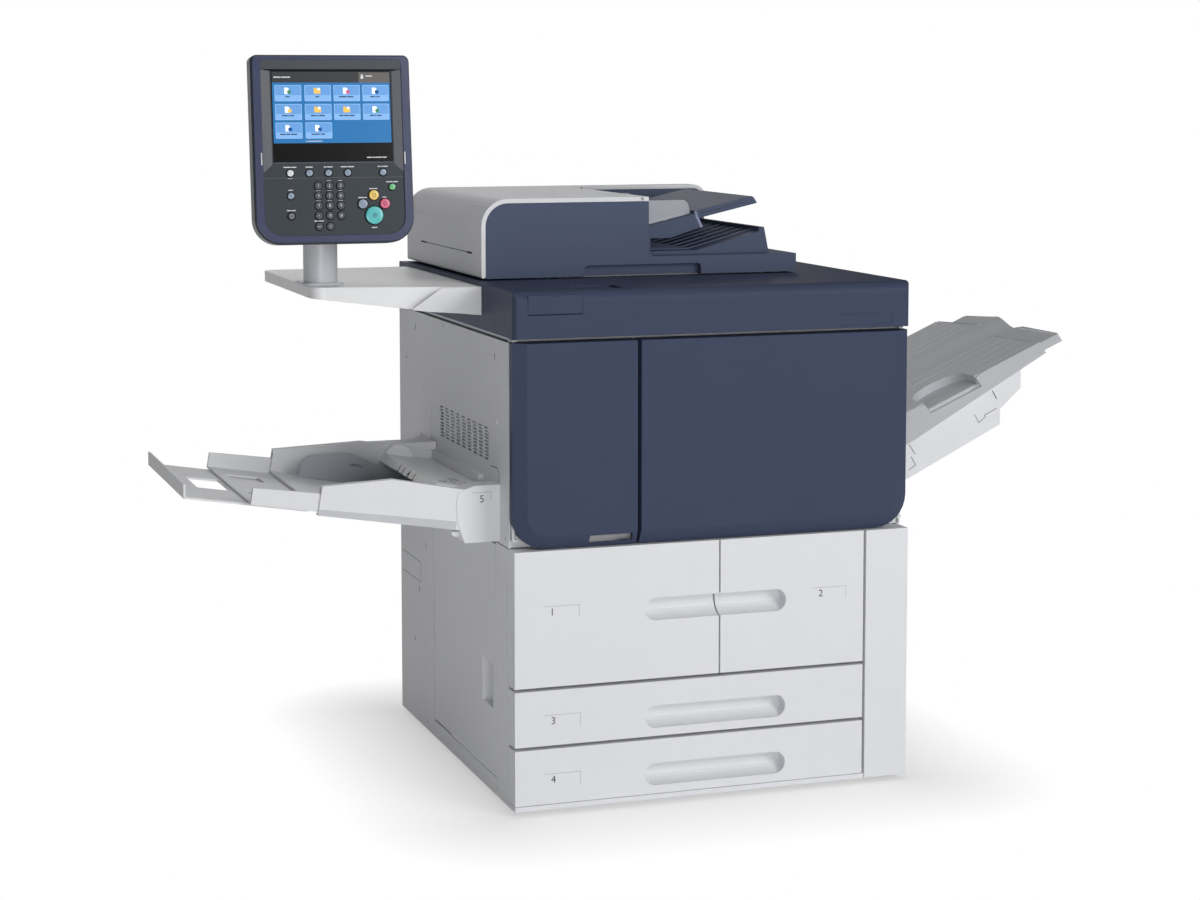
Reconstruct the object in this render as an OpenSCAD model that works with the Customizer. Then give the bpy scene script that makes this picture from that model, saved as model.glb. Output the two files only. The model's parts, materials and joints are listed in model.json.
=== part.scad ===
// Digital production printer: paper drawer cabinet, print engine with two front doors, scanner with
// document feeder, swivelling touch console, bypass tray on the left and catch tray on the right.
// Origin: on the floor, midway between the two tray tips and midway front to back.
// The front faces -Y, +X is to the right, +Z is up. All lengths are in millimetres.

/* [Cabinet] */
// Width of the cabinet over its side covers
body_w = 753; // [720:1:800]
// Depth of the cabinet, front to back
body_d = 790; // [760:1:840]
// Distance from the origin to the middle of the cabinet
origin_shift = 65; // [40:1:90]
// Gap between the floor and the skirt
ground_gap = 10; // [8:1:14]
// Height of the skirt strip under the lowest drawer
skirt_h = 10; // [8:1:14]
// Thickness of the moulded covers
cover_t = 3; // [2:0.5:4]
// Thickness of the frame's steel sheet
frame_t = 2; // [1.5:0.5:3]
// Height of the frame's floor plate, over the casters
frame_z = 60; // [58:1:66]
// Space between the left cover and the frame
left_room = 34; // [32:1:44]
// Space between the right cover and the frame
right_room = 8; // [6:1:14]
// Width of the fixed column at the front right
column_w = 83.5; // [70:0.5:100]

/* [Drawers] */
// Height of the fronts of the two lower drawers
low_drawer_h = 98.5; // [96:0.5:110]
// Height of the fronts of the two upper drawers
tall_drawer_h = 241.5; // [220:0.5:260]
// Gap between two drawer fronts, one above the other
drawer_gap = 6; // [4:0.5:8]
// Gap beside a drawer front
drawer_side_gap = 5; // [3:0.5:8]
// Distance of the split between the upper drawers from the cabinet's middle
split_x = 6.5; // [-20:0.5:20]
// Depth of the drawer front mouldings
front_d = 42; // [38:1:48]
// Width of the grip recess
grip_w = 270; // [200:1:300]
// Height of the grip recess
grip_h = 40; // [34:1:46]
// Depth of the grip recess
grip_d = 30; // [24:1:34]
// Height of the grip recess above the lower edge of a low drawer
low_grip_z = 15; // [10:1:24]
// Height of the grip recess above the lower edge of a tall drawer
tall_grip_z = 105; // [80:1:140]
// Height of the paper bins of the low drawers
low_bin_h = 52; // [48:1:54]
// Depth of the paper bins
bin_d = 600; // [540:1:640]
// Thickness of the bins' walls
bin_t = 2; // [1.5:0.5:3]

/* [Print engine] */
// Height of the front doors
door_h = 362.5; // [350:0.5:380]
// Gap between the drawers and the doors
engine_gap = 2; // [1.5:0.5:4]
// Width of the left front door
left_door_w = 228.5; // [200:0.5:260]
// Gap between the two front doors
door_gap = 4.3; // [3:0.1:6]
// Depth of the front doors
door_d = 33; // [30:1:38]
// Radius of the doors' lower outer corners
door_corner_r = 60; // [45:1:75]
// Width of the bevel round the doors' outer edges
bevel_w = 24; // [18:1:30]
// Depth of that bevel
bevel_d = 12; // [8:1:16]
// Width of the finger pocket in the left door
pocket_w = 80; // [60:1:100]
// Height of that pocket
pocket_h = 26; // [20:1:32]
// Radius of the toner cartridge
toner_r = 45; // [40:1:50]
// Length of the toner cartridge
toner_len = 410; // [380:1:440]

/* [Scanner] */
// Height of the scanner
scanner_h = 82.5; // [76:0.5:92]
// Gap between the doors and the scanner
scanner_gap = 6.5; // [5:0.5:9]
// Radius of the scanner's upper front edge
scanner_edge_r = 20; // [14:1:26]
// Radius of the scanner's upright front corners
scanner_corner_r = 10; // [8:1:16]
// Width of the document glass
glass_w = 440; // [420:1:460]
// Depth of the document glass
glass_d = 310; // [297:1:320]
// Thickness of the document glass
glass_t = 4; // [3:0.5:5]

/* [Document feeder] */
// Width of the feeder
feeder_w = 620; // [600:1:660]
// Depth of the feeder
feeder_d = 532; // [510:1:550]
// Height of the feeder's base
feeder_base_h = 34; // [30:1:40]
// Height of the feeder's head over the scanner
feeder_head_h = 148; // [136:1:160]
// Width of the feeder's head
feeder_head_w = 323; // [300:1:340]
// Radius of the head's upper left edge
feeder_r = 50; // [40:1:60]
// Thickness of the head's white shell
feeder_shell_t = 8; // [6:0.5:11]
// Tilt of the document tray
feeder_tray_tilt = 12.7; // [10:0.1:16]
// Length of the document tray
feeder_tray_len = 226; // [210:1:250]
// Spacing of the document guides
feeder_guide_gap = 306; // [297:1:320]

/* [Console] */
// Distance of the console from the cabinet's left side
console_reach = 259.5; // [250:0.5:290]
// Width of the console
console_w = 286; // [270:1:310]
// Height of the console along its face
console_h = 333; // [320:1:350]
// Thickness of the console
console_t = 34; // [30:1:40]
// Height of the console's lower edge above the floor
console_z = 1000; // [980:1:1040]
// Tilt of the console's face
console_tilt = 6; // [0:1:15]
// Width of the touch screen
screen_w = 214; // [200:1:224]
// Height of the touch screen
screen_h = 160; // [150:1:166]
// Diameter of the start button
start_d = 31; // [26:1:36]
// Diameter of the other round buttons
button_d = 17; // [14:1:20]
// Diameter of the number keys
key_d = 12.8; // [10:0.1:14]
// Spacing of the number keys
key_pitch = 19.9; // [16:0.1:22]
// Radius of the console's post
post_r = 31; // [26:1:36]

/* [Bypass tray] */
// Slope of the bypass tray
bypass_slope = 9.2; // [5:0.1:12]
// Height of the tray's root above the floor
bypass_z = 502; // [496:1:510]
// Length of the main tray along its slope
bypass_len = 328; // [300:1:360]
// Width of the bypass tray
bypass_w = 440; // [420:1:460]
// Distance of the tray's middle in front of the cabinet's middle
bypass_y = 88; // [60:1:110]
// Visible length of the inner extension
inner_len = 118; // [100:1:130]
// Visible length of the outer extension
outer_len = 112; // [90:1:120]
// Spacing of the bypass guides
bypass_guide_gap = 310; // [290:1:330]

/* [Catch tray] */
// Slope of the catch tray
catch_slope = 23.7; // [18:0.1:28]
// Height of the catch tray where it meets the cabinet
catch_z = 617; // [600:1:640]
// Length of the catch tray along its slope
catch_len = 410; // [380:1:430]
// Width of the catch tray
catch_w = 400; // [380:1:420]
// Height of the tray's front side
catch_side_h = 46; // [36:1:56]
// Distance that the catch tray's extension stands out
catch_out = 44; // [20:1:80]
// Thickness of the tray's sheet
catch_t = 3; // [2.5:0.5:4]

/* [Feet and casters] */
// Radius of the caster wheels
wheel_r = 25; // [22:1:27]
// Width of the caster wheels
wheel_w = 20; // [16:1:24]
// Radius of the levelling feet
foot_r = 20; // [16:1:24]

/* [Hidden] */

// Radial clearance of a pin or shaft in its bore
fit = 0.05;
// Clearance between pieces that slide or swing past each other
gap = 0.5;
// Clearance under a piece that rests on its seat
seat = 0.3;
// Overrun of a cut past the face that it opens
over = 1;
// Gap between two covers side by side
cover_gap = 1;
// Straight steps in a quarter of a rounded corner
corner_steps = 8;
$fn = 48;

// Colours
white = "gainsboro";
steel = "lightslategray";
navy = [0.24, 0.28, 0.37];
dark = [0.16, 0.17, 0.2];
grey = "silver";
light_grey = "darkgray";

// Cabinet places
mid_x = origin_shift;
body_left = mid_x - body_w / 2;
body_right = mid_x + body_w / 2;
body_front = -body_d / 2;
body_rear = body_d / 2;
skirt_top = ground_gap + skirt_h;
low_z = skirt_top;
third_z = low_z + low_drawer_h + drawer_gap;
tall_z = third_z + low_drawer_h + drawer_gap;
cabinet_top = tall_z + tall_drawer_h;
door_z = cabinet_top + engine_gap;
door_top = door_z + door_h;
scanner_z = door_top + scanner_gap;
scanner_top = scanner_z + scanner_h;
column_left = body_right - column_w;
fronts_right = column_left - drawer_side_gap;
split_gap = 3;
front_1_right = mid_x + split_x - split_gap / 2;
front_2_left = mid_x + split_x + split_gap / 2;

// Frame places
frame_setback = 3;
frame_front = body_front + front_d + frame_setback;
frame_rear_room = 8;
frame_rear = body_rear - frame_rear_room;
frame_left = body_left + left_room;
frame_right = body_right - right_room;
frame_top_drop = 1.2;
frame_top = cabinet_top - frame_top_drop;
upper_floor_z = frame_top + frame_t;
partition_room = 4;
partition_x = column_left - partition_room;
divider_x = mid_x + split_x;
shelf_low_z = third_z - drawer_gap / 2;
shelf_tall_z = tall_z - drawer_gap / 2;
bay_left = frame_left + frame_t;
bay_split_left = divider_x - frame_t / 2;
bay_split_right = divider_x + frame_t / 2;

// Drawer runners: a rail on the bin slides between two flanges on the frame
rail_w = 8;
rail_h = 10;
rail_room = 1;
flange_w = 7;
flange_t = 2;
low_rail_z = 24;
tall_rail_z = 90;
bin_floor_room = 3;
bin_4_z = frame_z + frame_t + bin_floor_room;
bin_3_z = shelf_low_z + frame_t / 2 + bin_floor_room;
bin_tall_z = shelf_tall_z + frame_t / 2 + bin_floor_room;
tall_bin_top_room = 38;
tall_bin_h = tall_drawer_h - tall_bin_top_room;
bin_front = body_front + front_d;
bin_rear = bin_front + bin_d;
bin_wall_y = bin_front + frame_t + seat;
plate_margin = 1.5;
tray_stop_t = 3;
tray_stop_share = 0.72;
side_guide_share = 0.16;
guide_h_share = 0.8;
bin_notch_share = 0.3;

// Drawer fronts
front_t = 3;
grip_wall = 3;
grip_shade = 8;
grip_x = mid_x - grip_w / 2;
front_edge_r = 1.5;
front_setback = 0.5;

// Side door in the lower left side
side_door_setback = 115.5;
side_door_len = 421;
side_door_rise = 26.5;
side_door_drop = 5;
side_door_d = 20;
side_door_t = 3;
side_pin_in = 5;
side_pin_r = 2.5;
side_pin_len = 14;
side_lug_t = 2.5;
side_lug_gap = 0.8;
side_leaf_h = 30;
side_door_y0 = body_front + side_door_setback;
side_door_y1 = side_door_y0 + side_door_len;
side_door_z0 = skirt_top + side_door_rise;
side_door_z1 = cabinet_top - side_door_drop;
side_hinge_x = body_left + side_pin_in;
side_hinge_y = side_door_y1 - side_pin_in;
side_grip_y = 18;
side_grip_len = 68;
side_grip_z = 118;
side_grip_h = 81;
side_grip_r = 40;
side_grip_out = 20;
side_seam = 1.5;
feed_window_h = 40;
feed_window_len = 300;
feed_window_y = 220;
window_rise = 70;

// Front doors
door_back = body_front + door_d;
door_t = 3;
door_pin_in = 6;
door_pin_r = 3;
door_pin_len = 14;
door_lug_t = 3;
door_lug_w = 12;
door_lug_gap = 1;
door_lug_rise = 13.5;
door_low_lug_z = door_z + door_lug_rise;
door_low_pin_len = 44;
door_low_pin_top = door_low_lug_z + door_low_pin_len;
left_door_right = body_left + left_door_w;
right_door_left = left_door_right + door_gap;
left_hinge_x = body_left + door_pin_in;
right_hinge_x = body_right - door_pin_in;
door_hinge_y = door_back - door_pin_in;
pocket_in = 9.6;
pocket_rise = 7;
pocket_d = 16;
pocket_slot_h = 13;

// Inner cover behind the doors
bezel_t = 4;
bezel_gap = 5;
bezel_front = frame_front - bezel_t;
toner_side = 270;
toner_x = mid_x - toner_side;
toner_rise = 265;
toner_z = door_z + toner_rise;
toner_fit = 0.4;
toner_nose = 18;
toner_cap_t = 10;
toner_cap_step = 2;
toner_key_w = 14;
toner_key_h = 12;
toner_key_share = 0.6;
cradle_shares = [0.25, 0.85];
shaft_shares = [0.2, 0.4, 0.6, 0.8];
toner_ring_w = 8;
drawer_box_w = 380;
drawer_box_h = 150;
drawer_box_d = 560;
drawer_box_side = 100;
drawer_box_x = mid_x - drawer_box_side;
drawer_box_rise = 25;
drawer_box_z = door_z + drawer_box_rise;
drawer_box_gap = 1;
drawer_face_t = 12;
drawer_face_margin = 12;
drawer_grip_w = 110;
drawer_grip_h = 24;
lever_r = 14;
lever_len = 78;
lever_t = 9;
lever_w = 18;
lever_pin_r = 5;
lever_pin_len = 14;
lever_side = 70;
lever_x = drawer_box_x + lever_side;
lever_rise = 105;
lever_z = drawer_box_z + lever_rise;
runner_h = 12;
cradle_t = 3;

// Outer covers
panel_top_drop = 2;
panel_flange = 14;
panel_front = door_back + cover_gap;
vent_in = 161;
vent_y = body_front + vent_in;
vent_rise = 137.5;
vent_z = door_z + vent_rise;
vent_w = 27;
vent_h = 3;
vent_pitch_y = 37.5;
vent_pitch_z = 6.2;
vent_cols = 9;
vent_rows = 10;
vent_field_in = 12.6;
vent_field_len = 415;
vent_field_z = 581;
vent_field_h = 79;
vent_field_d = 1.2;
ledge_in = 191;
ledge_len = 320;
ledge_z = 563;
ledge_h = 17;
ledge_out = 10;
ledge_y = body_front + ledge_in;
vent_field_y = vent_y - vent_field_in;
dock_r = 2.5;
dock_in = 101;
dock_y0 = body_front + dock_in;
dock_dy = 504;
dock_rise = 184;
dock_z0 = door_z + dock_rise;
dock_dz = 26;
exit_slot_in = 150;
exit_slot_y = body_front + exit_slot_in;
exit_slot_w = 420;
exit_slot_rise = 18;
exit_slot_z = catch_z + exit_slot_rise;
exit_slot_h = 26;
feed_slot_in = 170;
feed_slot_y = body_front + feed_slot_in;
feed_slot_w = 330;
feed_slot_rise = 14;
feed_slot_z = bypass_z + feed_slot_rise;
feed_slot_h = 44;
rear_vent_side = 220;
rear_vent_x = mid_x - rear_vent_side;
rear_vent_rise = 60;
rear_vent_z = door_z + rear_vent_rise;
rear_vent_cols = 7;
rear_vent_rows = 8;
rear_vent_w = 34;
rear_vent_h = 5;
rear_vent_dx = 44;
rear_vent_dz = 14;
inlet_in = 130;
inlet_x = body_right - inlet_in;
inlet_rise = 80;
inlet_z = ground_gap + inlet_rise;
inlet_w = 32;
inlet_h = 26;
inlet_d = 4;
blade_w = 6;
blade_h = 2.4;
blade_len = 3;
blade_pitch = 8;

// Scanner places
scanner_wall = 3;
glass_side = 205;
glass_x = mid_x - glass_side;
glass_rear_room = 205;
glass_y = body_rear - glass_rear_room - glass_d;
glass_ledge = 6;
well_margin = 60;
well_front_room = 66;
well_floor = 8;
rod_r = 4;
rod_room = 22;
rod_y = glass_y + glass_d + rod_room;
rod_drop = 34;
rod_z = scanner_top - rod_drop;
carriage_w = 46;
carriage_h = 22;
carriage_d = glass_d + 20;
carriage_side = 46;
carriage_x = glass_x - carriage_side;
carriage_drop = 5;
flap_in = 25.5;
flap_x = body_left + flap_in;
flap_w = 100;
flap_drop = 41.3;
flap_z = scanner_top - flap_drop;
flap_h = 34.3;
flap_t = 3;
flap_pin_r = 1.5;
flap_pin_len = 4;
flap_pin_z = 2.5;
flap_well_d = 12;
flap_nail_w = 30;
name_side = 229;
name_x = mid_x + name_side;
name_w = 111;
name_rise = 5.5;
name_z = scanner_z + name_rise;
name_h = 20;
name_d = 0.8;
top_recess_in = 125.5;
top_recess_x = body_left + top_recess_in;
top_recess_w = 86;
top_recess_room = 35;
top_recess_y = body_front + top_recess_room;
top_recess_d = 63;
top_recess_depth = 4;

// Feeder places
feeder_lift = 3;
feeder_rear_room = 8;
feeder_in = 15.5;
feeder_x0 = body_left + feeder_in;
feeder_x1 = feeder_x0 + feeder_w;
feeder_y1 = body_rear - feeder_rear_room;
feeder_y0 = feeder_y1 - feeder_d;
feeder_z0 = scanner_top + feeder_lift;
feeder_z1 = feeder_z0 + feeder_base_h;
feeder_top = scanner_top + feeder_head_h;
head_x1 = feeder_x0 + feeder_head_w;
fascia_t = 6;
fascia_in = feeder_shell_t + gap;
fillet_r = 14;
finger_side = 164;
finger_x = mid_x - finger_side;
finger_w = 230;
finger_h = 20;
finger_d = 14;
finger_r = 8;
feeder_hinge_in = 10;
feeder_hinge_y = feeder_y1 - feeder_hinge_in;
feeder_hinge_rise = 13;
feeder_hinge_z = feeder_z0 + feeder_hinge_rise;
feeder_pin_r = 4;
feeder_ear_t = 12;
feeder_ear_r = 10;
feeder_ear_room = 5;
feeder_notch_y = 17;
feeder_ear_left = 90;
feeder_ear_right = 110;
feeder_ear_xs = [feeder_x0 + feeder_ear_left, feeder_x1 - feeder_ear_right];
cover_axis_x = feeder_x0 + feeder_shell_t / 2;
cover_lift = 1;
cover_axis_z = feeder_z0 + cover_lift + feeder_shell_t / 2;
cover_pin_r = 1.6;
cover_skin = 1.1;
cover_notch = 1;
cover_lug_r = feeder_shell_t / 2 - cover_skin - gap;
cover_lug_w = 15;
cover_pin_len = 8;
cover_lug_room = 40;
rear_wall_d = 42;
rear_wall_y = feeder_y1 - rear_wall_d;
rear_wall_h = 107;
rear_wall_out = 5;
rear_wall_x1 = feeder_x1 + rear_wall_out;
inner_body_h = 46;
inner_body_in = 22;
roller_r = 14;
roller_shaft_r = 4;
roller_in = 34;
roller_x = head_x1 - roller_in;
roller_rise = 58;
roller_z = feeder_z1 + roller_rise;
roller_len = 60;
roller_room = 200;
roller_y = feeder_y0 + roller_room;
roller_arm_t = 6;
tray_hinge_out = 14;
tray_hinge_x = head_x1 + tray_hinge_out;
tray_hinge_rise = 46.5;
tray_hinge_z = feeder_z1 + tray_hinge_rise;
tray_room = 62;
tray_y0 = feeder_y0 + tray_room;
tray_w = 356;
tray_t = 8;
tray_pin_r = 3;
tray_pin_len = 6;
tray_cheek_t = 8;
tray_seg_len = 108;
tray_side_t = 6;
tray_side_in = 6;
tray_side_h0 = 16;
tray_side_h1 = 28;
tray_side_h2 = 22;
tray_side_flat = 48;
tray_side_lean = 8;
tray_step = 6;
tray_out_h = 15;
tray_plate_t = 4;
tray_tip_lean = 7;
tray_cheek_r = 9;
out_z0 = 6;
out_z1 = 40;
out_stop_h = 8;
out_room = 45;
out_y0 = feeder_y0 + out_room;
out_reach = 440;
out_y1 = feeder_y0 + out_reach;
out_rib_w = 6;
out_rib_h = 3;
out_rib_pitch = 40;
out_ribs = 8;
out_len = 240;
out_flat_share = 0.46;
out_stop_t = 20;
guide_t = 3;
guide_h = 47;
guide_len = 90;
guide_foot_w = 34;
guide_foot_t = 2;
guide_key_w = 9;
guide_key_h = 2;
guide_x = 14;
guide_r = 14;
guide_travel = 90;
pad_t = 5;
pad_margin = 8;
pad_in = 6;

// Console places
console_x = body_left - console_reach;
console_in = 215;
console_y = body_front + console_in;
console_edge_r = 12;
console_low_r = 45;
console_wall = 4;
console_back_wall = 3;
face_depth = 1.5;
face_rim = 17;
face_low_rim = 15;
face_top_rim = 24;
screen_v = 145;
screen_t = 6;
screen_gap = 0.4;
screen_ledge = 5;
start_u = 69.6;
start_v = 48.6;
clear_v = 84.5;
stop_u = 89.4;
stop_v = 69;
interrupt_u = 49.7;
power_u = 103.9;
power_v = 98.5;
power_d = 11;
row_v = 124.7;
row_us = [-78.7, -44.6, -10.4, 24.1, 88];
row_key_d = 12;
help_u = -78.7;
help_v = 85;
language_v = 49.5;
pad_u = -29.6;
pad_v = 49.5;
pad_low_v = 30.6;
key_gap = 0.4;
key_rise_pitch = 17.5;
key_rise = 2.5;
key_lip = 3;
key_base_t = 2;
key_room = 3;
button_rise = 3;
button_flange = 2;
post_x = console_x;
post_in = 350;
post_y = body_front + post_in;
post_foot_t = 7;
post_foot_bevel = 3;
post_foot_w = 78;
post_foot_d = 96;
post_foot_r = 24;
post_rise = 42;
post_top = console_z + post_rise;
neck_cap_h = 12;
neck_w = 44;
neck_eye_r = 11;
neck_pin_r = 5;
neck_v = 90;
neck_back = 12;
neck_arm_t = 18;
lug_t = 12;
lug_room = 1.5;
lug_root_h = 17;
lug_step = 1.5;
shelf_t = 20;
shelf_drop = 6;
shelf_top = scanner_top - shelf_drop;
shelf_reach = 293;
shelf_mid = 95;
shelf_mid_drop = 43;
shelf_root_h = 51;
shelf_in = 198;
shelf_y0 = body_front + shelf_in;
shelf_tip_in = 273;
shelf_tip_y0 = body_front + shelf_tip_in;
shelf_end = 719;
shelf_y1 = body_front + shelf_end;
shelf_r = 26;
swivel_r = 8;
swivel_len = 20;

// Bypass places, measured along and across its slope
bypass_y0 = -bypass_y - bypass_w / 2;
bypass_y1 = -bypass_y + bypass_w / 2;
floor_t = 4;
wall_t = 16;
wall_skin = 3;
wall_tip_h = 36.5;
wall_drop = 14;
front_wall_line = [56, 205, 62, wall_tip_h];
rear_tip_h = 40.8;
rear_wall_line = [74, 161, 75, rear_tip_h];
lip_w = 12;
lip_t = 3;
inner_plate_t = 3.5;
plate_gap = 0.7;
inner_wall_t = 8;
inner_wall_h = 21;
inner_overlap = 150;
outer_plate_t = 3.5;
outer_overlap = 104;
outer_lip_h = 12;
outer_lip_t = 4;
outer_side_in = 24;
window_w = 60;
window_d = 125;
window_in = 20;
outer_window_x = 46;
block_w = 76.5;
block_t = 44;
block_h = 101;
block_z = 476.5;
block_curve = 20;
block_bevel_w = 30;
block_bevel_h = 10;
curve_share = 1.6;
rear_block_d = 90;
rear_block_h = 118;
rear_block_slope = 12;
rear_block_drop = 37;
rear_box_w = 150;
rear_box_h = 42;
rear_box_d = 34;
head_w = 103.5;
head_root_h = 59;
head_side_h = 24;
head_lip_w = 10;
head_lip_h = 14;
head_cap_r = 28;
head_cap_len = 16;
head_cap_x = 79.5;
head_cap_z = 64;
roller_w = 20;
feed_shaft_z = 36;
head_t = 3;
bypass_guide_h = 54;
bypass_guide_low = 41;
bypass_guide_t = 3;
bypass_guide_len = 220;
bypass_guide_x = 110;
bypass_foot_w = 60;
bypass_foot_t = 2;
bypass_key_w = 10;
bypass_key_h = 3;
bypass_travel = 95;
bypass_guide_cut = 76;
bypass_guide_step = 126;
bypass_guide_end = 64;
bypass_guide_nose = 22;

// Catch tray places, measured along and across its slope
catch_y = -5;
catch_y0 = catch_y - catch_w / 2;
catch_y1 = catch_y + catch_w / 2;
ramp_y0 = -36;
ramp_y1 = 41;
ramp_h = 12;
side_lean = 0.7;
far_side_h = 14;
side_tip_h = 20;
side_slant_x = 60;
scoop_share = 0.7;
scoop_x = 195;
scoop_r = 62;
scoop_drop = 16;
dip_w = 84;
corner_cut = 22;
ext_t = 2.5;
ext_gap = 1;
ext_overlap = 130;
ext_y1 = 151;
catch_reach = catch_len * cos(catch_slope);
bracket_root_drop = 139;
bracket_step_in = 81.9;
bracket_tip_in = 37.9;
bracket_low_in = 150.4;
bracket_step_low = 124.3;
bracket_step_high = 93.8;
bracket_tip_low = 74.1;
bracket_in = 10;
bracket_w = 330;

// Feet and casters
caster_x = 60;
caster_front = 100;
caster_rear = 80;
fork_t = 3;
fork_gap = 1;
axle_r = 4;
fork_plate = 60;
hub_r = 12;
foot_h = 8;
foot_in_x = 34;
foot_in_front = 40;
foot_in_rear = 24;
stem_r = 6;

// Points of a rounded corner, as an arc about its own centre
function arc(x, y, r, start) =
    r > 0 ? [for (i = [0 : corner_steps]) let (a = start + 90 * i / corner_steps)
        [x + r * cos(a), y + r * sin(a)]] : [[x, y]];

// Outline of a rectangle with a radius for each corner, from the lower left one round
function rounded(x0, y0, x1, y1, r) = concat(
    arc(x0 + r[0], y0 + r[0], r[0], 180), arc(x1 - r[1], y0 + r[1], r[1], 270),
    arc(x1 - r[2], y1 - r[2], r[2], 0), arc(x0 + r[3], y1 - r[3], r[3], 90));

// Box between two opposite corners
module block(low, high) {
    translate(low) cube(high - low);
}

// Outline in x and z, extruded from y0 to y1
module slab_y(y0, y1) {
    translate([0, y1, 0]) rotate([90, 0, 0]) linear_extrude(y1 - y0) children();
}

// Outline in y and z, extruded from x0 to x1
module slab_x(x0, x1) {
    translate([x0, 0, 0]) rotate([90, 0, 90]) linear_extrude(x1 - x0) children();
}

// Outline in x and y, extruded from z0 to z1
module slab_z(z0, z1) {
    translate([0, 0, z0]) linear_extrude(z1 - z0) children();
}

module rod_x(x0, x1, y, z, r) {
    translate([x0, y, z]) rotate([0, 90, 0]) cylinder(h = x1 - x0, r = r);
}

module rod_y(y0, y1, x, z, r) {
    translate([x, y1, z]) rotate([90, 0, 0]) cylinder(h = y1 - y0, r = r);
}

module rod_z(z0, z1, x, y, r) {
    translate([x, y, z0]) cylinder(h = z1 - z0, r = r);
}

// One runner: an upper and a lower flange on a bay's wall, side is 1 for a wall on the left
module runner(x, side, z) {
    x0 = side > 0 ? x + seat : x - flange_w;
    for (dz = [-gap - flange_t, rail_h + gap])
        translate([x0, bin_front + frame_setback, z + dz]) cube([flange_w - seat, bin_d, flange_t]);
}

// Rigid fork of a caster, with its axle
module caster_fork(x, y) {
    reach = wheel_w / 2 + fork_gap;
    top = frame_z - seat;
    block([x - fork_plate / 2, y - fork_plate / 2, top - fork_t], [x + fork_plate / 2, y + fork_plate / 2, top]);
    for (side = [-1, 1]) {
        x0 = side > 0 ? x + reach : x - reach - fork_t;
        block([x0, y - hub_r, wheel_r], [x0 + fork_t, y + hub_r, top]);
        rod_x(x0, x0 + fork_t, y, wheel_r, hub_r);
    }
    rod_x(x - reach, x + reach, y, wheel_r, axle_r);
}

caster_x0 = frame_left + caster_x;
caster_x1 = frame_right - caster_x;
caster_y0 = frame_front + caster_front;
caster_y1 = frame_rear - caster_rear;
caster_places = [[caster_x0, caster_y0], [caster_x1, caster_y0],
    [caster_x0, caster_y1], [caster_x1, caster_y1]];

// Lug, leaf and pin of the side door's hinge; up is 1 for a pin that points up
module side_hinge(z, up) {
    x1 = frame_left - seat;
    y0 = side_hinge_y - side_pin_in;
    y1 = side_hinge_y + side_pin_in;
    leaf_z = up > 0 ? z : z + side_lug_t - side_leaf_h;
    pin_z = up > 0 ? z : z - side_pin_len;
    block([side_hinge_x - side_pin_in / 2, y0, z], [x1, y1, z + side_lug_t]);
    block([x1 - frame_t, y0, leaf_z], [x1, y1, leaf_z + side_leaf_h]);
    rod_z(pin_z, pin_z + side_pin_len + side_lug_t, side_hinge_x, side_hinge_y, side_pin_r);
}

side_lug_low = side_door_z0 - side_lug_gap - side_lug_t;
side_lug_high = side_door_z1 + side_lug_gap;

// Frame of riveted sheets, each seated on the next, with runners, caster forks and hinge lugs
module lower_frame() color(steel) {
    y0 = frame_front;
    y1 = frame_rear - frame_t - seat;
    z0 = frame_z + frame_t + seat;
    z1 = frame_top - frame_t - seat;
    block([frame_left, y0, frame_z], [frame_right, frame_rear, frame_z + frame_t]);
    block([frame_left, y0, frame_top - frame_t], [frame_right, frame_rear, frame_top]);
    block([frame_left, frame_rear - frame_t, z0], [frame_right, frame_rear, z1]);
    block([frame_right - frame_t, y0, z0], [frame_right, y1, z1]);
    block([partition_x, y0, z0], [partition_x + frame_t, y1, z1]);
    for (z = [shelf_low_z, shelf_tall_z])
        block([bay_left + seat, y0, z - frame_t / 2], [partition_x - seat, y1, z + frame_t / 2]);
    block([bay_split_left, y0, shelf_tall_z + frame_t / 2 + seat], [bay_split_right, y1, z1]);
    // Left wall with the windows that the sheets leave the bins through
    difference() {
        block([frame_left, y0, z0], [bay_left, y1, z1]);
        for (z = [bin_4_z + low_rail_z, bin_3_z + low_rail_z, bin_tall_z + tall_rail_z + window_rise])
            translate([frame_left - over, body_front + feed_window_y, z + rail_h * 2])
                cube([frame_t + over * 2, feed_window_len, feed_window_h]);
    }
    for (z = [bin_4_z + low_rail_z, bin_3_z + low_rail_z]) {
        runner(bay_left, 1, z);
        runner(partition_x, -1, z);
    }
    for (wall = [[bay_left, 1], [bay_split_left, -1], [bay_split_right, 1], [partition_x, -1]])
        runner(wall[0], wall[1], bin_tall_z + tall_rail_z);
    side_hinge(side_lug_low, 1);
    side_hinge(side_lug_high, -1);
    for (p = caster_places) caster_fork(p[0], p[1]);
}

module caster_wheel(p) color(dark) difference() {
    union() {
        rod_x(p[0] - wheel_w / 2, p[0] + wheel_w / 2, p[1], wheel_r, wheel_r - fork_gap);
        rod_x(p[0] - wheel_w / 4, p[0] + wheel_w / 4, p[1], wheel_r, wheel_r);
    }
    rod_x(p[0] - wheel_w, p[0] + wheel_w, p[1], wheel_r, axle_r + fit);
}

module caster_wheel_1() caster_wheel(caster_places[0]);
module caster_wheel_2() caster_wheel(caster_places[1]);
module caster_wheel_3() caster_wheel(caster_places[2]);
module caster_wheel_4() caster_wheel(caster_places[3]);

module leveling_feet() color(grey)
    for (x = [frame_left + foot_in_x, frame_right - foot_in_x])
        for (y = [frame_front + foot_in_front, frame_rear - foot_in_rear]) {
            rod_z(0, foot_h, x, y, foot_r);
            rod_z(foot_h, frame_z, x, y, stem_r);
            translate([x, y, foot_h]) cylinder(h = foot_h, r = foot_r / 2, $fn = 6);
        }

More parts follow.
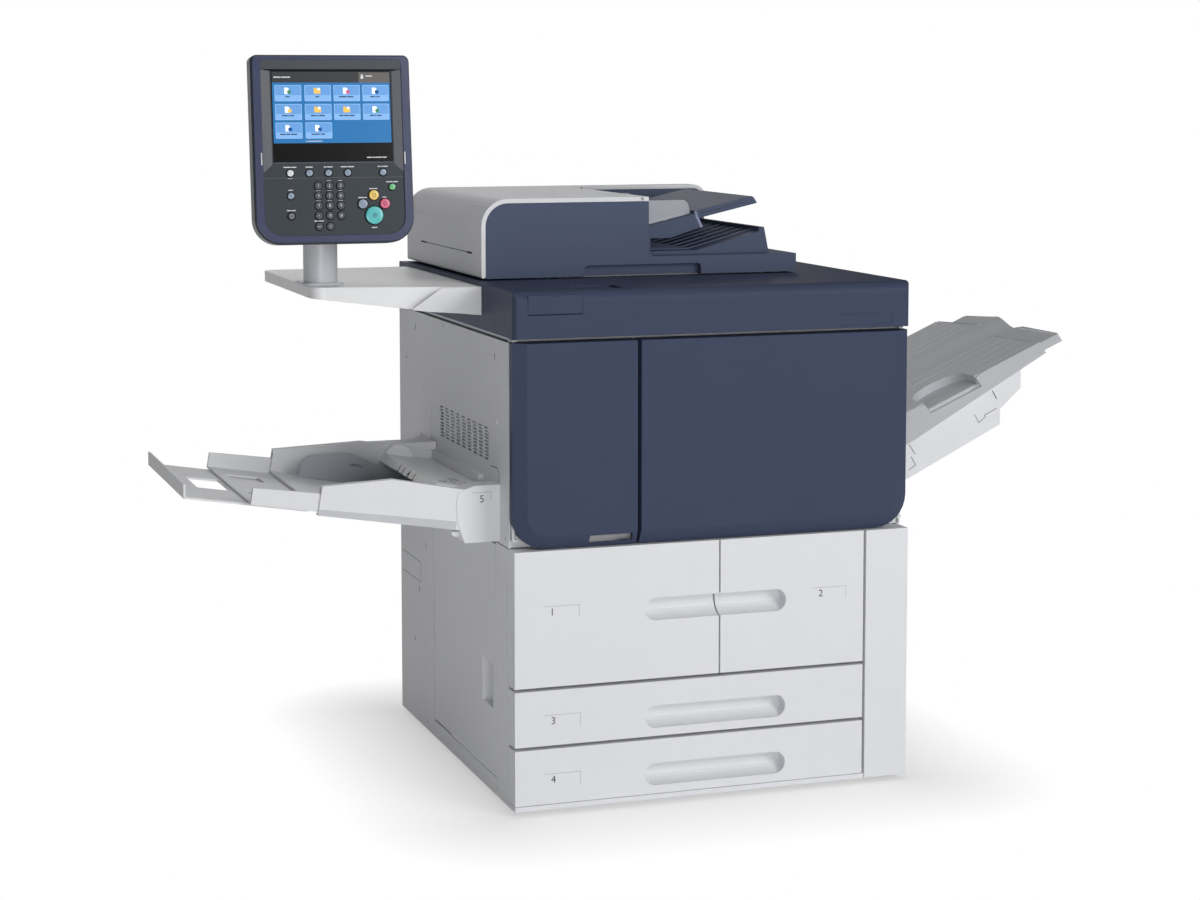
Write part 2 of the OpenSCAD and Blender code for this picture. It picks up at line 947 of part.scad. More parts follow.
// Skirt, strip under the side door and post in front of it, as one moulding
module base_cover() color(white) {
    skirt_z1 = skirt_top - cover_gap;
    strip_z1 = side_lug_low - cover_gap;
    post_y1 = side_door_y0 - side_seam;
    y0 = frame_front - gap;
    block([body_left, body_front, ground_gap], [column_left - side_seam, body_front + cover_t, skirt_z1]);
    block([body_left, body_front, ground_gap], [body_left + cover_t, side_door_y1, skirt_z1]);
    block([body_left, y0, ground_gap], [body_left + cover_t, side_door_y1, strip_z1]);
    block([body_left, y0, ground_gap], [body_left + cover_t, post_y1, cabinet_top]);
    block([body_left, y0, strip_z1 - cover_t], [frame_left, frame_front + panel_flange, strip_z1]);
    block([body_left, y0, strip_z1], [frame_left, y0 + frame_t, frame_top]);
    block([frame_left - cover_t, post_y1 - cover_t, strip_z1], [frame_left, post_y1, side_door_z1]);
    block([body_left, post_y1 - cover_t, strip_z1], [frame_left, post_y1, side_door_z1]);
}

module left_rear_panel() color(white) {
    y0 = side_door_y1 + side_seam;
    block([body_left, y0, ground_gap], [body_left + cover_t, body_rear, cabinet_top]);
    block([body_left, y0, ground_gap], [frame_left, y0 + cover_t, frame_top]);
    block([body_left, body_rear - cover_t, ground_gap], [frame_left + panel_flange, body_rear, frame_top]);
    block([body_left, frame_rear, frame_z], [frame_left + panel_flange, frame_rear + frame_t, frame_top]);
}

module vent_slots() {
    for (i = [0 : vent_cols - 1])
        for (j = [0 : vent_rows - 1])
            translate([body_left - over, vent_y + i * vent_pitch_y, vent_z + j * vent_pitch_z])
                cube([cover_t + over * 2, vent_w, vent_h]);
}

module left_upper_panel() color(white) difference() {
    union() {
        block([body_left, panel_front, door_z], [body_left + cover_t, body_rear, door_top - panel_top_drop]);
        block([body_left, bezel_front + bezel_t, door_z],
            [body_left + right_room, frame_front + panel_flange, door_top - panel_top_drop]);
        block([body_left, frame_rear, door_z],
            [body_left + right_room, body_rear, door_top - panel_top_drop]);
        // Ledge over the feed head of the bypass tray
        block([body_left - ledge_out, ledge_y, ledge_z], [body_left + over, ledge_y + ledge_len, ledge_z + ledge_h]);
    }
    vent_slots();
    block([body_left - over, vent_field_y, vent_field_z],
        [body_left + vent_field_d, vent_field_y + vent_field_len, vent_field_z + vent_field_h]);
    for (y = [dock_y0, dock_y0 + dock_dy])
        for (z = [dock_z0, dock_z0 + dock_dz])
            rod_x(body_left - over, body_left + cover_t + over, y, z, dock_r);
    block([body_left - over, feed_slot_y, feed_slot_z],
        [body_left + cover_t + over, feed_slot_y + feed_slot_w, feed_slot_z + feed_slot_h]);
}

// Front column and the lower right side, as one moulding
module right_lower_cover() color(white) {
    difference() {
        block([column_left, body_front, ground_gap], [body_right, frame_front, cabinet_top]);
        block([column_left + cover_t, body_front + cover_t, ground_gap - over],
            [body_right - cover_t, frame_front + over, cabinet_top - cover_t]);
    }
    block([body_right - cover_t, frame_front, ground_gap], [body_right, body_rear, cabinet_top]);
    block([frame_right, frame_front, frame_z], [body_right, frame_front + panel_flange, frame_top]);
    block([frame_right, frame_rear - panel_flange, frame_z], [body_right, frame_rear, frame_top]);
    block([frame_right, frame_rear, ground_gap], [body_right, body_rear, frame_top]);
}

module right_upper_panel() color(white) difference() {
    union() {
        block([body_right - cover_t, panel_front, door_z], [body_right, body_rear, door_top - panel_top_drop]);
        for (y = [[frame_front, frame_front + panel_flange], [frame_rear, body_rear]])
            block([frame_right, y[0], door_z], [body_right, y[1], door_top - panel_top_drop]);
    }
    block([body_right - cover_t - over, exit_slot_y, exit_slot_z],
        [body_right + over, exit_slot_y + exit_slot_w, exit_slot_z + exit_slot_h]);
    for (y = [dock_y0, dock_y0 + dock_dy])
        rod_x(body_right - cover_t - over, body_right + over, y, dock_z0 + dock_dz * 3, dock_r);
}

module rear_cover() color(white) {
    x0 = frame_left + panel_flange + cover_gap;
    x1 = frame_right - cover_gap;
    difference() {
        union() {
            block([x0, body_rear - cover_t, ground_gap], [x1, body_rear, frame_top]);
            block([body_left + right_room + cover_gap, body_rear - cover_t, cabinet_top],
                [x1, body_rear, door_top - panel_top_drop]);
            block([x0, frame_rear, frame_z], [x0 + cover_t, body_rear, frame_top]);
            block([x1 - cover_t, frame_rear, frame_z], [x1, body_rear, door_top - panel_top_drop]);
            block([x0, body_rear - cover_t, frame_top], [x1, body_rear, cabinet_top + over]);
        }
        for (i = [0 : rear_vent_cols - 1])
            for (j = [0 : rear_vent_rows - 1])
                translate([rear_vent_x + i * rear_vent_dx, body_rear - cover_t - over, rear_vent_z + j * rear_vent_dz])
                    cube([rear_vent_w, cover_t + over * 2, rear_vent_h]);
        block([inlet_x, body_rear - cover_t - over, inlet_z], [inlet_x + inlet_w, body_rear + over, inlet_z + inlet_h]);
    }
    // Power inlet with its three blades, set back in the cover
    block([inlet_x - cover_t, body_rear - cover_t - inlet_d, inlet_z - cover_t],
        [inlet_x + inlet_w + cover_t, body_rear - cover_t, inlet_z + inlet_h + cover_t]);
    for (i = [-1, 0, 1])
        translate([inlet_x + inlet_w / 2 + i * blade_pitch - blade_w / 2, body_rear - cover_t,
            inlet_z + inlet_h / 2 - (i == 0 ? -blade_h : blade_h)])
            cube([blade_w, blade_len, blade_h]);
}

// Upper frame of sheets seated on each other, with the toner's cradles and the transport drawer's runners
module upper_frame() color(steel) {
    x0 = body_left + right_room;
    x1 = frame_right;
    y0 = frame_front;
    y1 = frame_rear - frame_t - seat;
    z0 = upper_floor_z + seat;
    z1 = scanner_z - frame_t - seat;
    block([x0, y0, frame_top], [x1, frame_rear, upper_floor_z]);
    block([x0, y0, scanner_z - frame_t], [x1, frame_rear, scanner_z]);
    block([x0, frame_rear - frame_t, z0], [x1, frame_rear, z1]);
    difference() {
        block([x0, y0, z0], [x0 + frame_t, y1, z1]);
        translate([x0 - over, feed_slot_y, feed_slot_z]) cube([frame_t + over * 2, feed_slot_w, feed_slot_h]);
    }
    difference() {
        block([x1 - frame_t, y0, z0], [x1, y1, z1]);
        translate([x1 - frame_t - over, exit_slot_y, exit_slot_z]) cube([frame_t + over * 2, exit_slot_w, exit_slot_h]);
    }
    for (share = cradle_shares) {
        y = bezel_front + toner_len * share;
        difference() {
            block([toner_x - toner_r - cradle_t, y, toner_z - toner_r - cradle_t], [toner_x + toner_r + cradle_t, y + cradle_t, z1]);
            rod_y(y - over, y + cradle_t + over, toner_x, toner_z, toner_r + toner_fit);
        }
    }
    for (x = [drawer_box_x + runner_h, drawer_box_x + drawer_box_w - runner_h * 2])
        block([x, y0 + runner_h, z0], [x + runner_h, y0 + drawer_box_d, drawer_box_z - seat]);
}

// White inner cover behind the doors, with the doors' hinge lugs and pins
module front_bezel() color(white) {
    difference() {
        block([body_left + cover_t + gap, bezel_front, door_z],
            [body_right - cover_t - gap, frame_front, door_top + door_lug_gap + door_lug_t]);
        rod_y(bezel_front - over, frame_front + over, toner_x, toner_z, toner_r + toner_fit);
        block([drawer_box_x - drawer_box_gap, bezel_front - over, drawer_box_z - drawer_box_gap],
            [drawer_box_x + drawer_box_w + drawer_box_gap, frame_front + over, drawer_box_z + drawer_box_h + drawer_box_gap]);
    }
    difference() {
        rod_y(bezel_front - bezel_gap, bezel_front, toner_x, toner_z, toner_r + toner_ring_w);
        rod_y(bezel_front - bezel_gap - over, bezel_front + over, toner_x, toner_z, toner_r + toner_fit);
    }
    for (side = [-1, 1]) {
        x = side < 0 ? left_hinge_x : right_hinge_x;
        x0 = side < 0 ? body_left + cover_t + gap : x - door_lug_w / 2;
        x1 = side < 0 ? x + door_lug_w / 2 : body_right - cover_t - gap;
        top_z = door_top + door_lug_gap;
        for (z = [top_z, door_low_lug_z])
            block([x0, door_hinge_y - door_pin_in + gap, z], [x1, frame_front, z + door_lug_t]);
        rod_z(top_z - door_pin_len, top_z + door_lug_t, x, door_hinge_y, door_pin_r);
        rod_z(door_low_lug_z, door_low_pin_top, x, door_hinge_y, door_pin_r);
    }
}

// Front door as a shell with bevelled outer edges; side is -1 for the door hinged on the left
module front_door(x0, x1, side) {
    r = door_corner_r;
    left_r = side < 0 ? r : front_edge_r;
    right_r = side > 0 ? r : front_edge_r;
    left_in = side < 0 ? bevel_w : front_edge_r;
    right_in = side > 0 ? bevel_w : front_edge_r;
    hinge_x = side < 0 ? left_hinge_x : right_hinge_x;
    top_in = front_edge_r;
    // Solid between the outline at the bevel's foot and the smaller outline on the face
    module body(inset) {
        foot_y = body_front + bevel_d + inset / 2;
        hull() {
            slab_y(foot_y, inset > 0 ? door_back + over : door_back)
                polygon(rounded(x0 + inset, door_z + inset, x1 - inset, door_top - inset,
                    [max(left_r - inset, front_edge_r), max(right_r - inset, front_edge_r),
                        front_edge_r, front_edge_r]));
            slab_y(body_front + inset, foot_y)
                polygon(rounded(x0 + left_in + inset, door_z + bevel_w + inset, x1 - right_in - inset,
                    door_top - top_in - inset,
                    [max(left_r - left_in, front_edge_r), max(right_r - right_in, front_edge_r),
                        front_edge_r, front_edge_r]));
        }
    }
    difference() {
        body(0);
        difference() {
            body(door_t);
            for (z = [[door_low_lug_z, door_low_pin_top + door_t], [door_top - door_pin_len - door_t, door_top]])
                rod_z(z[0], z[1], hinge_x, door_hinge_y, door_pin_in);
        }
        // Rear corner rounded about the hinge axis
        difference() {
            block([hinge_x - (side < 0 ? door_pin_in + over : 0), door_hinge_y, door_z - over],
                [hinge_x + (side < 0 ? 0 : door_pin_in + over), door_back + over, door_top + over]);
            rod_z(door_z, door_top, hinge_x, door_hinge_y, door_pin_in);
        }
        rod_z(door_z - over, door_low_pin_top + over, hinge_x, door_hinge_y, door_pin_r + fit);
        rod_z(door_top - door_pin_len, door_top + over, hinge_x, door_hinge_y, door_pin_r + fit);
    }
}

module front_door_left() color(navy) difference() {
    front_door(body_left, left_door_right, -1);
    block([left_door_right - pocket_in - pocket_w, body_front - over, door_z + pocket_rise],
        [left_door_right - pocket_in, body_front + pocket_d, door_z + pocket_rise + pocket_slot_h]);
}

module front_door_right() color(navy) front_door(right_door_left, body_right, 1);

module left_lower_door() color(white) {
    x0 = body_left;
    x1 = body_left + side_door_d;
    t = side_door_t;
    grip_y0 = side_door_y0 + side_grip_y;
    grip_mid = grip_y0 + side_grip_len / 2;
    grip_z0 = side_door_z0 + side_grip_z;
    difference() {
        union() {
            difference() {
                block([x0, side_door_y0, side_door_z0], [x1, side_door_y1, side_door_z1]);
                difference() {
                    block([x0 + t, side_door_y0 + t, side_door_z0 + t], [x1 + over, side_door_y1 - t, side_door_z1 - t]);
                    rod_z(side_door_z0, side_door_z1, side_hinge_x, side_hinge_y, side_pin_in);
                }
            }
            block([x0, grip_y0 - t, grip_z0 - t], [x1, grip_y0 + side_grip_len + t, grip_z0 + side_grip_h + t]);
        }
        // Rear corner rounded about the hinge axis
        difference() {
            block([x0 - over, side_hinge_y, side_door_z0 - over], [side_hinge_x, side_door_y1 + over, side_door_z1 + over]);
            rod_z(side_door_z0, side_door_z1, side_hinge_x, side_hinge_y, side_pin_in);
        }
        intersection() {
            rod_z(grip_z0, grip_z0 + side_grip_h, x0 - side_grip_out, grip_mid, side_grip_r);
            block([x0 - side_grip_r, grip_y0, grip_z0], [x1 - t, grip_y0 + side_grip_len, grip_z0 + side_grip_h]);
        }
        rod_z(side_door_z0 - over, side_door_z0 + side_pin_len, side_hinge_x, side_hinge_y, side_pin_r + fit);
        rod_z(side_door_z1 - side_pin_len, side_door_z1 + over, side_hinge_x, side_hinge_y, side_pin_r + fit);
    }
}

// Scooped grip recess: a rounded slot in the face over a ramp that rises to the back
module grip_cut(x0, x1, z0) {
    y0 = body_front;
    z1 = z0 + grip_h;
    r = grip_h / 2;
    intersection() {
        slab_x(x0 - grip_h, x1 + grip_h) polygon(concat(
            [[y0 - over, z1], [y0 - over, z0]],
            [for (i = [0 : corner_steps]) let (a = 90 * i / corner_steps)
                [y0 + grip_d * sin(a), z0 + (grip_h - grip_shade) * (1 - cos(a))]],
            [[y0 + grip_d, z1]]));
        slab_y(y0 - over, y0 + grip_d + over) union() {
            translate([grip_x + r, z0 + r]) circle(r);
            translate([grip_x + grip_w - r, z0 + r]) circle(r);
            translate([grip_x + r, z0]) square([grip_w - grip_h, grip_h]);
        }
    }
}

// Front moulding of a drawer: hollow behind, with its part of the grip recess
module drawer_front(x0, x1, z0, z1, grip_z) {
    t = front_t;
    y0 = body_front + front_setback;
    grip_x0 = max(x0 + t, grip_x - grip_wall);
    grip_x1 = min(x1 - t, grip_x + grip_w + grip_wall);
    difference() {
        union() {
            difference() {
                block([x0, y0, z0], [x1, bin_front, z1]);
                block([x0 + t, y0 + t, z0 + t], [x1 - t, bin_front + over, z1 - t]);
            }
            block([grip_x0 - t, y0 + t / 2, grip_z - grip_wall],
                [grip_x1 + t, body_front + grip_d + grip_wall, grip_z + grip_h + grip_wall]);
        }
        intersection() {
            grip_cut(grip_x0, grip_x1, grip_z);
            block([x0 - over, body_front - over, z0], [x1 + over, bin_front, z1]);
        }
    }
}

module drawer_1_front() color(white)
    drawer_front(body_left, front_1_right, tall_z, cabinet_top, tall_z + tall_grip_z);
module drawer_2_front() color(white)
    drawer_front(front_2_left, fronts_right, tall_z, cabinet_top, tall_z + tall_grip_z);
module drawer_3_front() color(white)
    drawer_front(body_left, fronts_right, third_z, third_z + low_drawer_h, third_z + low_grip_z);
module drawer_4_front() color(white)
    drawer_front(body_left, fronts_right, low_z, low_z + low_drawer_h, low_z + low_grip_z);

// Paper bin with its rails and paper stop; face is [x0, x1, z0, z1] of the plate that the front is screwed to
module bin(left, right, z0, h, rail_z, face) {
    x0 = left + rail_room + rail_w;
    x1 = right - rail_room - rail_w;
    t = bin_t;
    notch = (x1 - x0) * bin_notch_share;
    stop_y = bin_front + bin_d * tray_stop_share;
    block([face[0] + plate_margin, bin_front, face[2] + plate_margin],
        [face[1] - plate_margin, bin_front + frame_t, face[3] - plate_margin]);
    difference() {
        block([x0, bin_wall_y, z0], [x1, bin_rear, z0 + h]);
        block([x0 + t, bin_wall_y + t, z0 + t], [x1 - t, bin_rear - t, z0 + h + over]);
        // Low notch in the rear wall, for a hand that lifts the last sheets
        block([x0 + notch, bin_rear - t - over, z0 + h * bin_notch_share], [x1 - notch, bin_rear + over, z0 + h + over]);
    }
    for (x = [x0 - rail_w, x1 + seat])
        translate([x, bin_front + frame_setback, z0 + rail_z]) cube([rail_w - seat, bin_d - frame_setback, rail_h]);
    block([x0 + t + seat, stop_y, z0 + t + seat], [x1 - t - seat, stop_y + tray_stop_t, z0 + h * guide_h_share]);
}

module drawer_1_bin() color(grey)
    bin(bay_left, bay_split_left, bin_tall_z, tall_bin_h, tall_rail_z,
        [body_left, front_1_right, tall_z, cabinet_top]);
module drawer_2_bin() color(grey)
    bin(bay_split_right, partition_x, bin_tall_z, tall_bin_h, tall_rail_z,
        [front_2_left, fronts_right, tall_z, cabinet_top]);
module drawer_3_bin() color(grey)
    bin(bay_left, partition_x, bin_3_z, low_bin_h, low_rail_z,
        [body_left, fronts_right, third_z, third_z + low_drawer_h]);
module drawer_4_bin() color(grey)
    bin(bay_left, partition_x, bin_4_z, low_bin_h, low_rail_z,
        [body_left, fronts_right, low_z, low_z + low_drawer_h]);

lift_t = 2;
lift_gap = 2;
lift_slot_share = 0.4;
lift_slot_w = 60;
lift_slot_d = 120;

// Lifting plate that raises the stack, with a window for the sheet sensor
module lift_plate(left, right) color(grey) {
    x0 = left + rail_room + rail_w + bin_t + lift_gap;
    x1 = right - rail_room - rail_w - bin_t - lift_gap;
    y0 = bin_wall_y + bin_t + lift_gap;
    y1 = bin_front + bin_d * tray_stop_share - lift_gap;
    z0 = bin_tall_z + bin_t + seat;
    x = x0 + (x1 - x0) * lift_slot_share;
    difference() {
        block([x0, y0, z0], [x1, y1, z0 + lift_t]);
        block([x, y0 - over, z0 - over], [x + lift_slot_w, y0 + lift_slot_d, z0 + lift_t + over]);
    }
}

module lift_plate_1() lift_plate(bay_left, bay_split_left);
module lift_plate_2() lift_plate(bay_split_right, partition_x);

// Toner cartridge with the key on its nose that locks it by a turn
module toner_cartridge() color(dark) {
    rod_y(bezel_front - bezel_gap, bezel_front + toner_len, toner_x, toner_z, toner_r);
    rod_y(bezel_front - bezel_gap - toner_cap_t, bezel_front - bezel_gap, toner_x, toner_z, toner_r - toner_cap_step);
    y = bezel_front - bezel_gap - toner_cap_t;
    block([toner_x - toner_r * toner_key_share, y - toner_key_h, toner_z - toner_key_w / 2],
        [toner_x + toner_r * toner_key_share, y, toner_z + toner_key_w / 2]);
}

// Pull-out paper transport, with its face plate and grip bar
module transport_drawer() color(light_grey) {
    x0 = drawer_box_x;
    x1 = drawer_box_x + drawer_box_w;
    z0 = drawer_box_z;
    z1 = drawer_box_z + drawer_box_h;
    y0 = bezel_front;
    m = drawer_face_margin;
    difference() {
        block([x0, y0, z0], [x1, y0 + drawer_box_d, z1]);
        block([x0 + m, y0 + drawer_face_t, z0 + m], [x1 - m, y0 + drawer_box_d - m, z1 + over]);
        // Grip recess in the face
        block([x1 - m * 2 - drawer_grip_w, y0 - over, z0 + m * 2],
            [x1 - m * 2, y0 + drawer_face_t - bin_t, z0 + m * 2 + drawer_grip_h]);
    }
    rod_y(y0 - lever_pin_len, y0, lever_x, lever_z, lever_pin_r);
    // Roller shafts across the open box
    for (share = shaft_shares)
        rod_x(x0 + m, x1 - m, y0 + drawer_box_d * share, z1 - m * 2, rod_r);
}

// Release lever, pointing right at rest
module transport_lever() color("seagreen") {
    y1 = bezel_front - over;
    difference() {
        union() {
            rod_y(y1 - lever_t, y1, lever_x, lever_z, lever_r);
            block([lever_x, y1 - lever_t, lever_z - lever_w / 2], [lever_x + lever_len, y1, lever_z + lever_w / 2]);
            rod_y(y1 - lever_t, y1, lever_x + lever_len, lever_z, lever_w / 2);
        }
        rod_y(y1 - lever_t - over, y1 + over, lever_x, lever_z, lever_pin_r + fit);
    }
}

// Scanner body with the well under the glass, the name recess, and the hinge ears of the feeder
module scanner_housing() color(navy) {
    well_x0 = body_left + well_margin / 2;
    well_x1 = body_right - well_margin / 2;
    well_y0 = glass_y - well_front_room / 2;
    well_y1 = rod_y + rod_r + well_floor;
    difference() {
        intersection() {
            slab_x(body_left, body_right) polygon(rounded(body_front, scanner_z, body_rear, scanner_top,
                [front_edge_r, front_edge_r, front_edge_r, scanner_edge_r]));
            slab_z(scanner_z, scanner_top) polygon(rounded(body_left, body_front, body_right, body_rear,
                [scanner_corner_r, scanner_corner_r, front_edge_r, front_edge_r]));
        }
        block([well_x0, well_y0, scanner_z + well_floor], [well_x1, well_y1, scanner_top - glass_t - scanner_wall]);
        // Seat of the glass, and the window under it
        block([glass_x, glass_y, scanner_top - glass_t], [glass_x + glass_w, glass_y + glass_d, scanner_top + over]);
        block([glass_x + glass_ledge, glass_y + glass_ledge, scanner_top - glass_t - scanner_wall - over],
            [glass_x + glass_w - glass_ledge, glass_y + glass_d - glass_ledge, scanner_top]);
        // Well behind the flap, and the seat of the flap with its pin holes
        block([flap_x, body_front - over, flap_z - gap], [flap_x + flap_w, body_front + flap_t + gap, flap_z + flap_h]);
        rod_x(flap_x, flap_x + flap_w, body_front + flap_pin_z, flap_z + flap_pin_z, flap_pin_z + gap);
        block([flap_x + flap_t, body_front, flap_z + flap_t * 2],
            [flap_x + flap_w - flap_t, body_front + flap_well_d, flap_z + flap_h - flap_t]);
        rod_x(flap_x - flap_pin_len, flap_x + flap_w + flap_pin_len, body_front + flap_pin_z,
            flap_z + flap_pin_z, flap_pin_r + fit);
        // Bare recess for a name strip on the front, and a finger recess in the top
        block([name_x, body_front - over, name_z], [name_x + name_w, body_front + name_d, name_z + name_h]);
        block([top_recess_x, top_recess_y, scanner_top - top_recess_depth],
            [top_recess_x + top_recess_w, top_recess_y + top_recess_d, scanner_top + over]);
    }
    // Rod that the carriage runs on
    rod_x(well_x0, well_x1, rod_y, rod_z, rod_r);
    for (x = feeder_ear_xs) {
        block([x - feeder_ear_t / 2, feeder_hinge_y - feeder_ear_r / 2, scanner_top],
            [x + feeder_ear_t / 2, feeder_hinge_y + feeder_ear_r / 2, feeder_hinge_z]);
        rod_x(x - feeder_ear_t / 2, x + feeder_ear_t / 2, feeder_hinge_y, feeder_hinge_z, feeder_ear_r);
        rod_x(x - feeder_ear_t * 1.5, x + feeder_ear_t * 1.5, feeder_hinge_y, feeder_hinge_z, feeder_pin_r);
    }
}

module usb_flap() color(navy) difference() {
    union() {
        slab_x(flap_x + gap, flap_x + flap_w - gap) polygon(concat(
            [[body_front + flap_t, flap_z + flap_h - gap], [body_front, flap_z + flap_h - gap]],
            [[body_front, flap_z + flap_pin_z]],
            [for (i = [1 : corner_steps]) let (a = 180 + 90 * i / corner_steps)
                [body_front + flap_pin_z + flap_pin_z * cos(a), flap_z + flap_pin_z + (flap_pin_z - gap) * sin(a)]],
            [[body_front + flap_t, flap_z + gap]]));
        rod_x(flap_x - flap_pin_len + gap, flap_x + flap_w + flap_pin_len - gap,
            body_front + flap_pin_z, flap_z + flap_pin_z, flap_pin_r);
    }
    // Finger hollow along the upper edge
    block([flap_x + flap_w / 2 - flap_nail_w / 2, body_front - over, flap_z + flap_h - flap_t],
        [flap_x + flap_w / 2 + flap_nail_w / 2, body_front + flap_t / 2, flap_z + flap_h]);
}

module platen_glass() color("lightcyan")
    block([glass_x + gap, glass_y + gap, scanner_top - glass_t], [glass_x + glass_w - gap, glass_y + glass_d - gap, scanner_top]);

// Lamp and mirror carriage, on a rod at the back and a slide pad at the front
module scan_carriage() color(dark) {
    top = scanner_top - glass_t - scanner_wall - carriage_drop;
    y0 = glass_y - well_front_room / 2 + carriage_drop;
    y1 = rod_y - rod_r * 2;
    difference() {
        union() {
            difference() {
                block([carriage_x, y0, top - carriage_h], [carriage_x + carriage_w, y1, top]);
                // Open lamp trough along the carriage
                block([carriage_x + scanner_wall * 4, y0 + scanner_wall * 4, top - carriage_h / 2],
                    [carriage_x + carriage_w - scanner_wall * 4, y1 - scanner_wall * 4, top + over]);
            }
            block([carriage_x, y1 - over, rod_z - rod_r * 2], [carriage_x + carriage_w, rod_y + rod_r * 2, rod_z + rod_r * 2]);
            block([carriage_x, y0, scanner_z + well_floor + seat], [carriage_x + carriage_w, y0 + scanner_wall, top]);
        }
        rod_x(carriage_x - over, carriage_x + carriage_w + over, rod_y, rod_z, rod_r + fit);
    }
}

// Outline of the feeder's blue face: rounded head, notch with a fillet, and the long low arm
module fascia_outline(x_in, top_in) {
    x0 = feeder_x0 + x_in;
    top = feeder_top - top_in;
    r = max(feeder_r - x_in, front_edge_r);
    polygon(concat([[x0, feeder_z0]], [[feeder_x1, feeder_z0], [feeder_x1, feeder_z1]],
        [for (i = [0 : corner_steps]) let (a = 270 - 90 * i / corner_steps)
            [head_x1 + fillet_r + fillet_r * cos(a), feeder_z1 + fillet_r + fillet_r * sin(a)]],
        [[head_x1, top]], arc(x0 + r, top - r, r, 90)));
}

module feeder_base() color(navy) {
    front_y = feeder_y0 + fascia_t;
    difference() {
        union() {
            slab_y(feeder_y0, front_y) fascia_outline(fascia_in, fascia_in);
            slab_y(feeder_y1 - fascia_t, feeder_y1) fascia_outline(fascia_in, fascia_in);
            block([feeder_x0 + fascia_in, feeder_y0, feeder_z0], [feeder_x1, feeder_y1, feeder_z1]);
            // Wall behind the trays
            slab_y(rear_wall_y, feeder_y1) polygon(rounded(head_x1 + gap, feeder_z1 - over, rear_wall_x1,
                feeder_z1 + rear_wall_h, [front_edge_r, front_edge_r, finger_r * 3, front_edge_r]));
            // Paper path block under the cover
            slab_y(front_y, feeder_y1 - fascia_t) polygon(rounded(feeder_x0 + inner_body_in, feeder_z1 - over,
                roller_x - roller_r * 2, feeder_z1 + inner_body_h,
                [front_edge_r, front_edge_r, front_edge_r, feeder_r / 2]));
            // Output tray with its end stop
            slab_y(out_y0, out_y1) polygon([[head_x1 - over, feeder_z1 - over],
                [head_x1 + out_len + out_stop_t, feeder_z1 - over],
                [head_x1 + out_len + out_stop_t / 2, feeder_z1 + out_z1 + out_stop_h],
                [head_x1 + out_len, feeder_z1 + out_z1 + out_stop_h],
                [head_x1 + out_len, feeder_z1 + out_z1],
                [head_x1 + out_len * out_flat_share, feeder_z1 + out_z0], [head_x1 - over, feeder_z1 + out_z0]]);
            for (i = [0 : out_ribs - 1])
                slab_y(out_y0 + (i + 1) * out_rib_pitch, out_y0 + (i + 1) * out_rib_pitch + out_rib_w)
                    polygon([[head_x1 - over, feeder_z1], [head_x1 + out_len, feeder_z1],
                        [head_x1 + out_len, feeder_z1 + out_z1 + out_rib_h],
                        [head_x1 + out_len * out_flat_share, feeder_z1 + out_z0 + out_rib_h],
                        [head_x1 - over, feeder_z1 + out_z0 + out_rib_h]]);
            // Cheeks that carry the document tray
            for (y = [tray_y0 - tray_cheek_t - gap, tray_y0 + tray_w + gap])
                slab_y(y, y + tray_cheek_t) polygon(concat([[tray_hinge_x - tray_cheek_r, feeder_z1 - over],
                    [tray_hinge_x + tray_cheek_r, feeder_z1 - over]],
                    arc(tray_hinge_x, tray_hinge_z, tray_cheek_r, 0), arc(tray_hinge_x, tray_hinge_z, tray_cheek_r, 90)));
            // Lugs of the cover's hinge
            for (y = [feeder_y0 + cover_lug_room, feeder_y1 - cover_lug_room - cover_lug_w]) {
                block([cover_axis_x, y, cover_axis_z - cover_lug_r],
                    [feeder_x0 + fascia_in + over, y + cover_lug_w, cover_axis_z + cover_lug_r]);
                rod_y(y, y + cover_lug_w, cover_axis_x, cover_axis_z, cover_lug_r);
                rod_y(y - cover_pin_len, y + cover_lug_w + cover_pin_len, cover_axis_x, cover_axis_z, cover_pin_r);
            }
            // Arms that carry the roller's shaft
            for (y = [roller_y - roller_arm_t - gap, roller_y + roller_len + gap])
                block([roller_x - roller_r * 2 - over, y, feeder_z1 - over], [roller_x + roller_r, y + roller_arm_t, roller_z + roller_r]);
        }
        // Finger recess along the lower front edge
        slab_y(feeder_y0 - over, feeder_y0 + finger_d) polygon(rounded(finger_x, feeder_z0 - over * 2, finger_x + finger_w,
            feeder_z0 + finger_h, [front_edge_r, front_edge_r, finger_r, finger_r]));
        // Recess for the platen pad
        block([glass_x - pad_margin, glass_y - pad_margin, feeder_z0 - over],
            [glass_x + glass_w + pad_margin, glass_y + glass_d + pad_margin, scanner_top + seat + pad_t + seat]);
        // Notches and bores round the hinge ears
        for (x = feeder_ear_xs) {
            block([x - feeder_ear_t / 2 - gap, feeder_hinge_y - feeder_notch_y, feeder_z0 - over],
                [x + feeder_ear_t / 2 + gap, feeder_y1 + over, feeder_hinge_z + feeder_ear_r + feeder_ear_room]);
            rod_x(x - feeder_ear_t * 1.5 - gap, x + feeder_ear_t * 1.5 + gap, feeder_hinge_y, feeder_hinge_z, feeder_pin_r + fit);
        }
        // Chamfer under the rear edge, so that it clears the scanner as the feeder opens
        slab_x(feeder_x0 - over, feeder_x1 + over * 6) polygon([[feeder_y1 - finger_r, feeder_z0 - over],
            [feeder_y1 + over, feeder_z0 - over], [feeder_y1 + over, feeder_z0 + finger_r]]);
        for (y = [tray_y0 - tray_pin_len - gap, tray_y0 + tray_w])
            rod_y(y, y + tray_pin_len + gap, tray_hinge_x, tray_hinge_z, tray_pin_r + fit);
        rod_y(roller_y - roller_arm_t - gap - over, roller_y + roller_len + roller_arm_t + gap + over,
            roller_x, roller_z, roller_shaft_r + fit);
    }
}

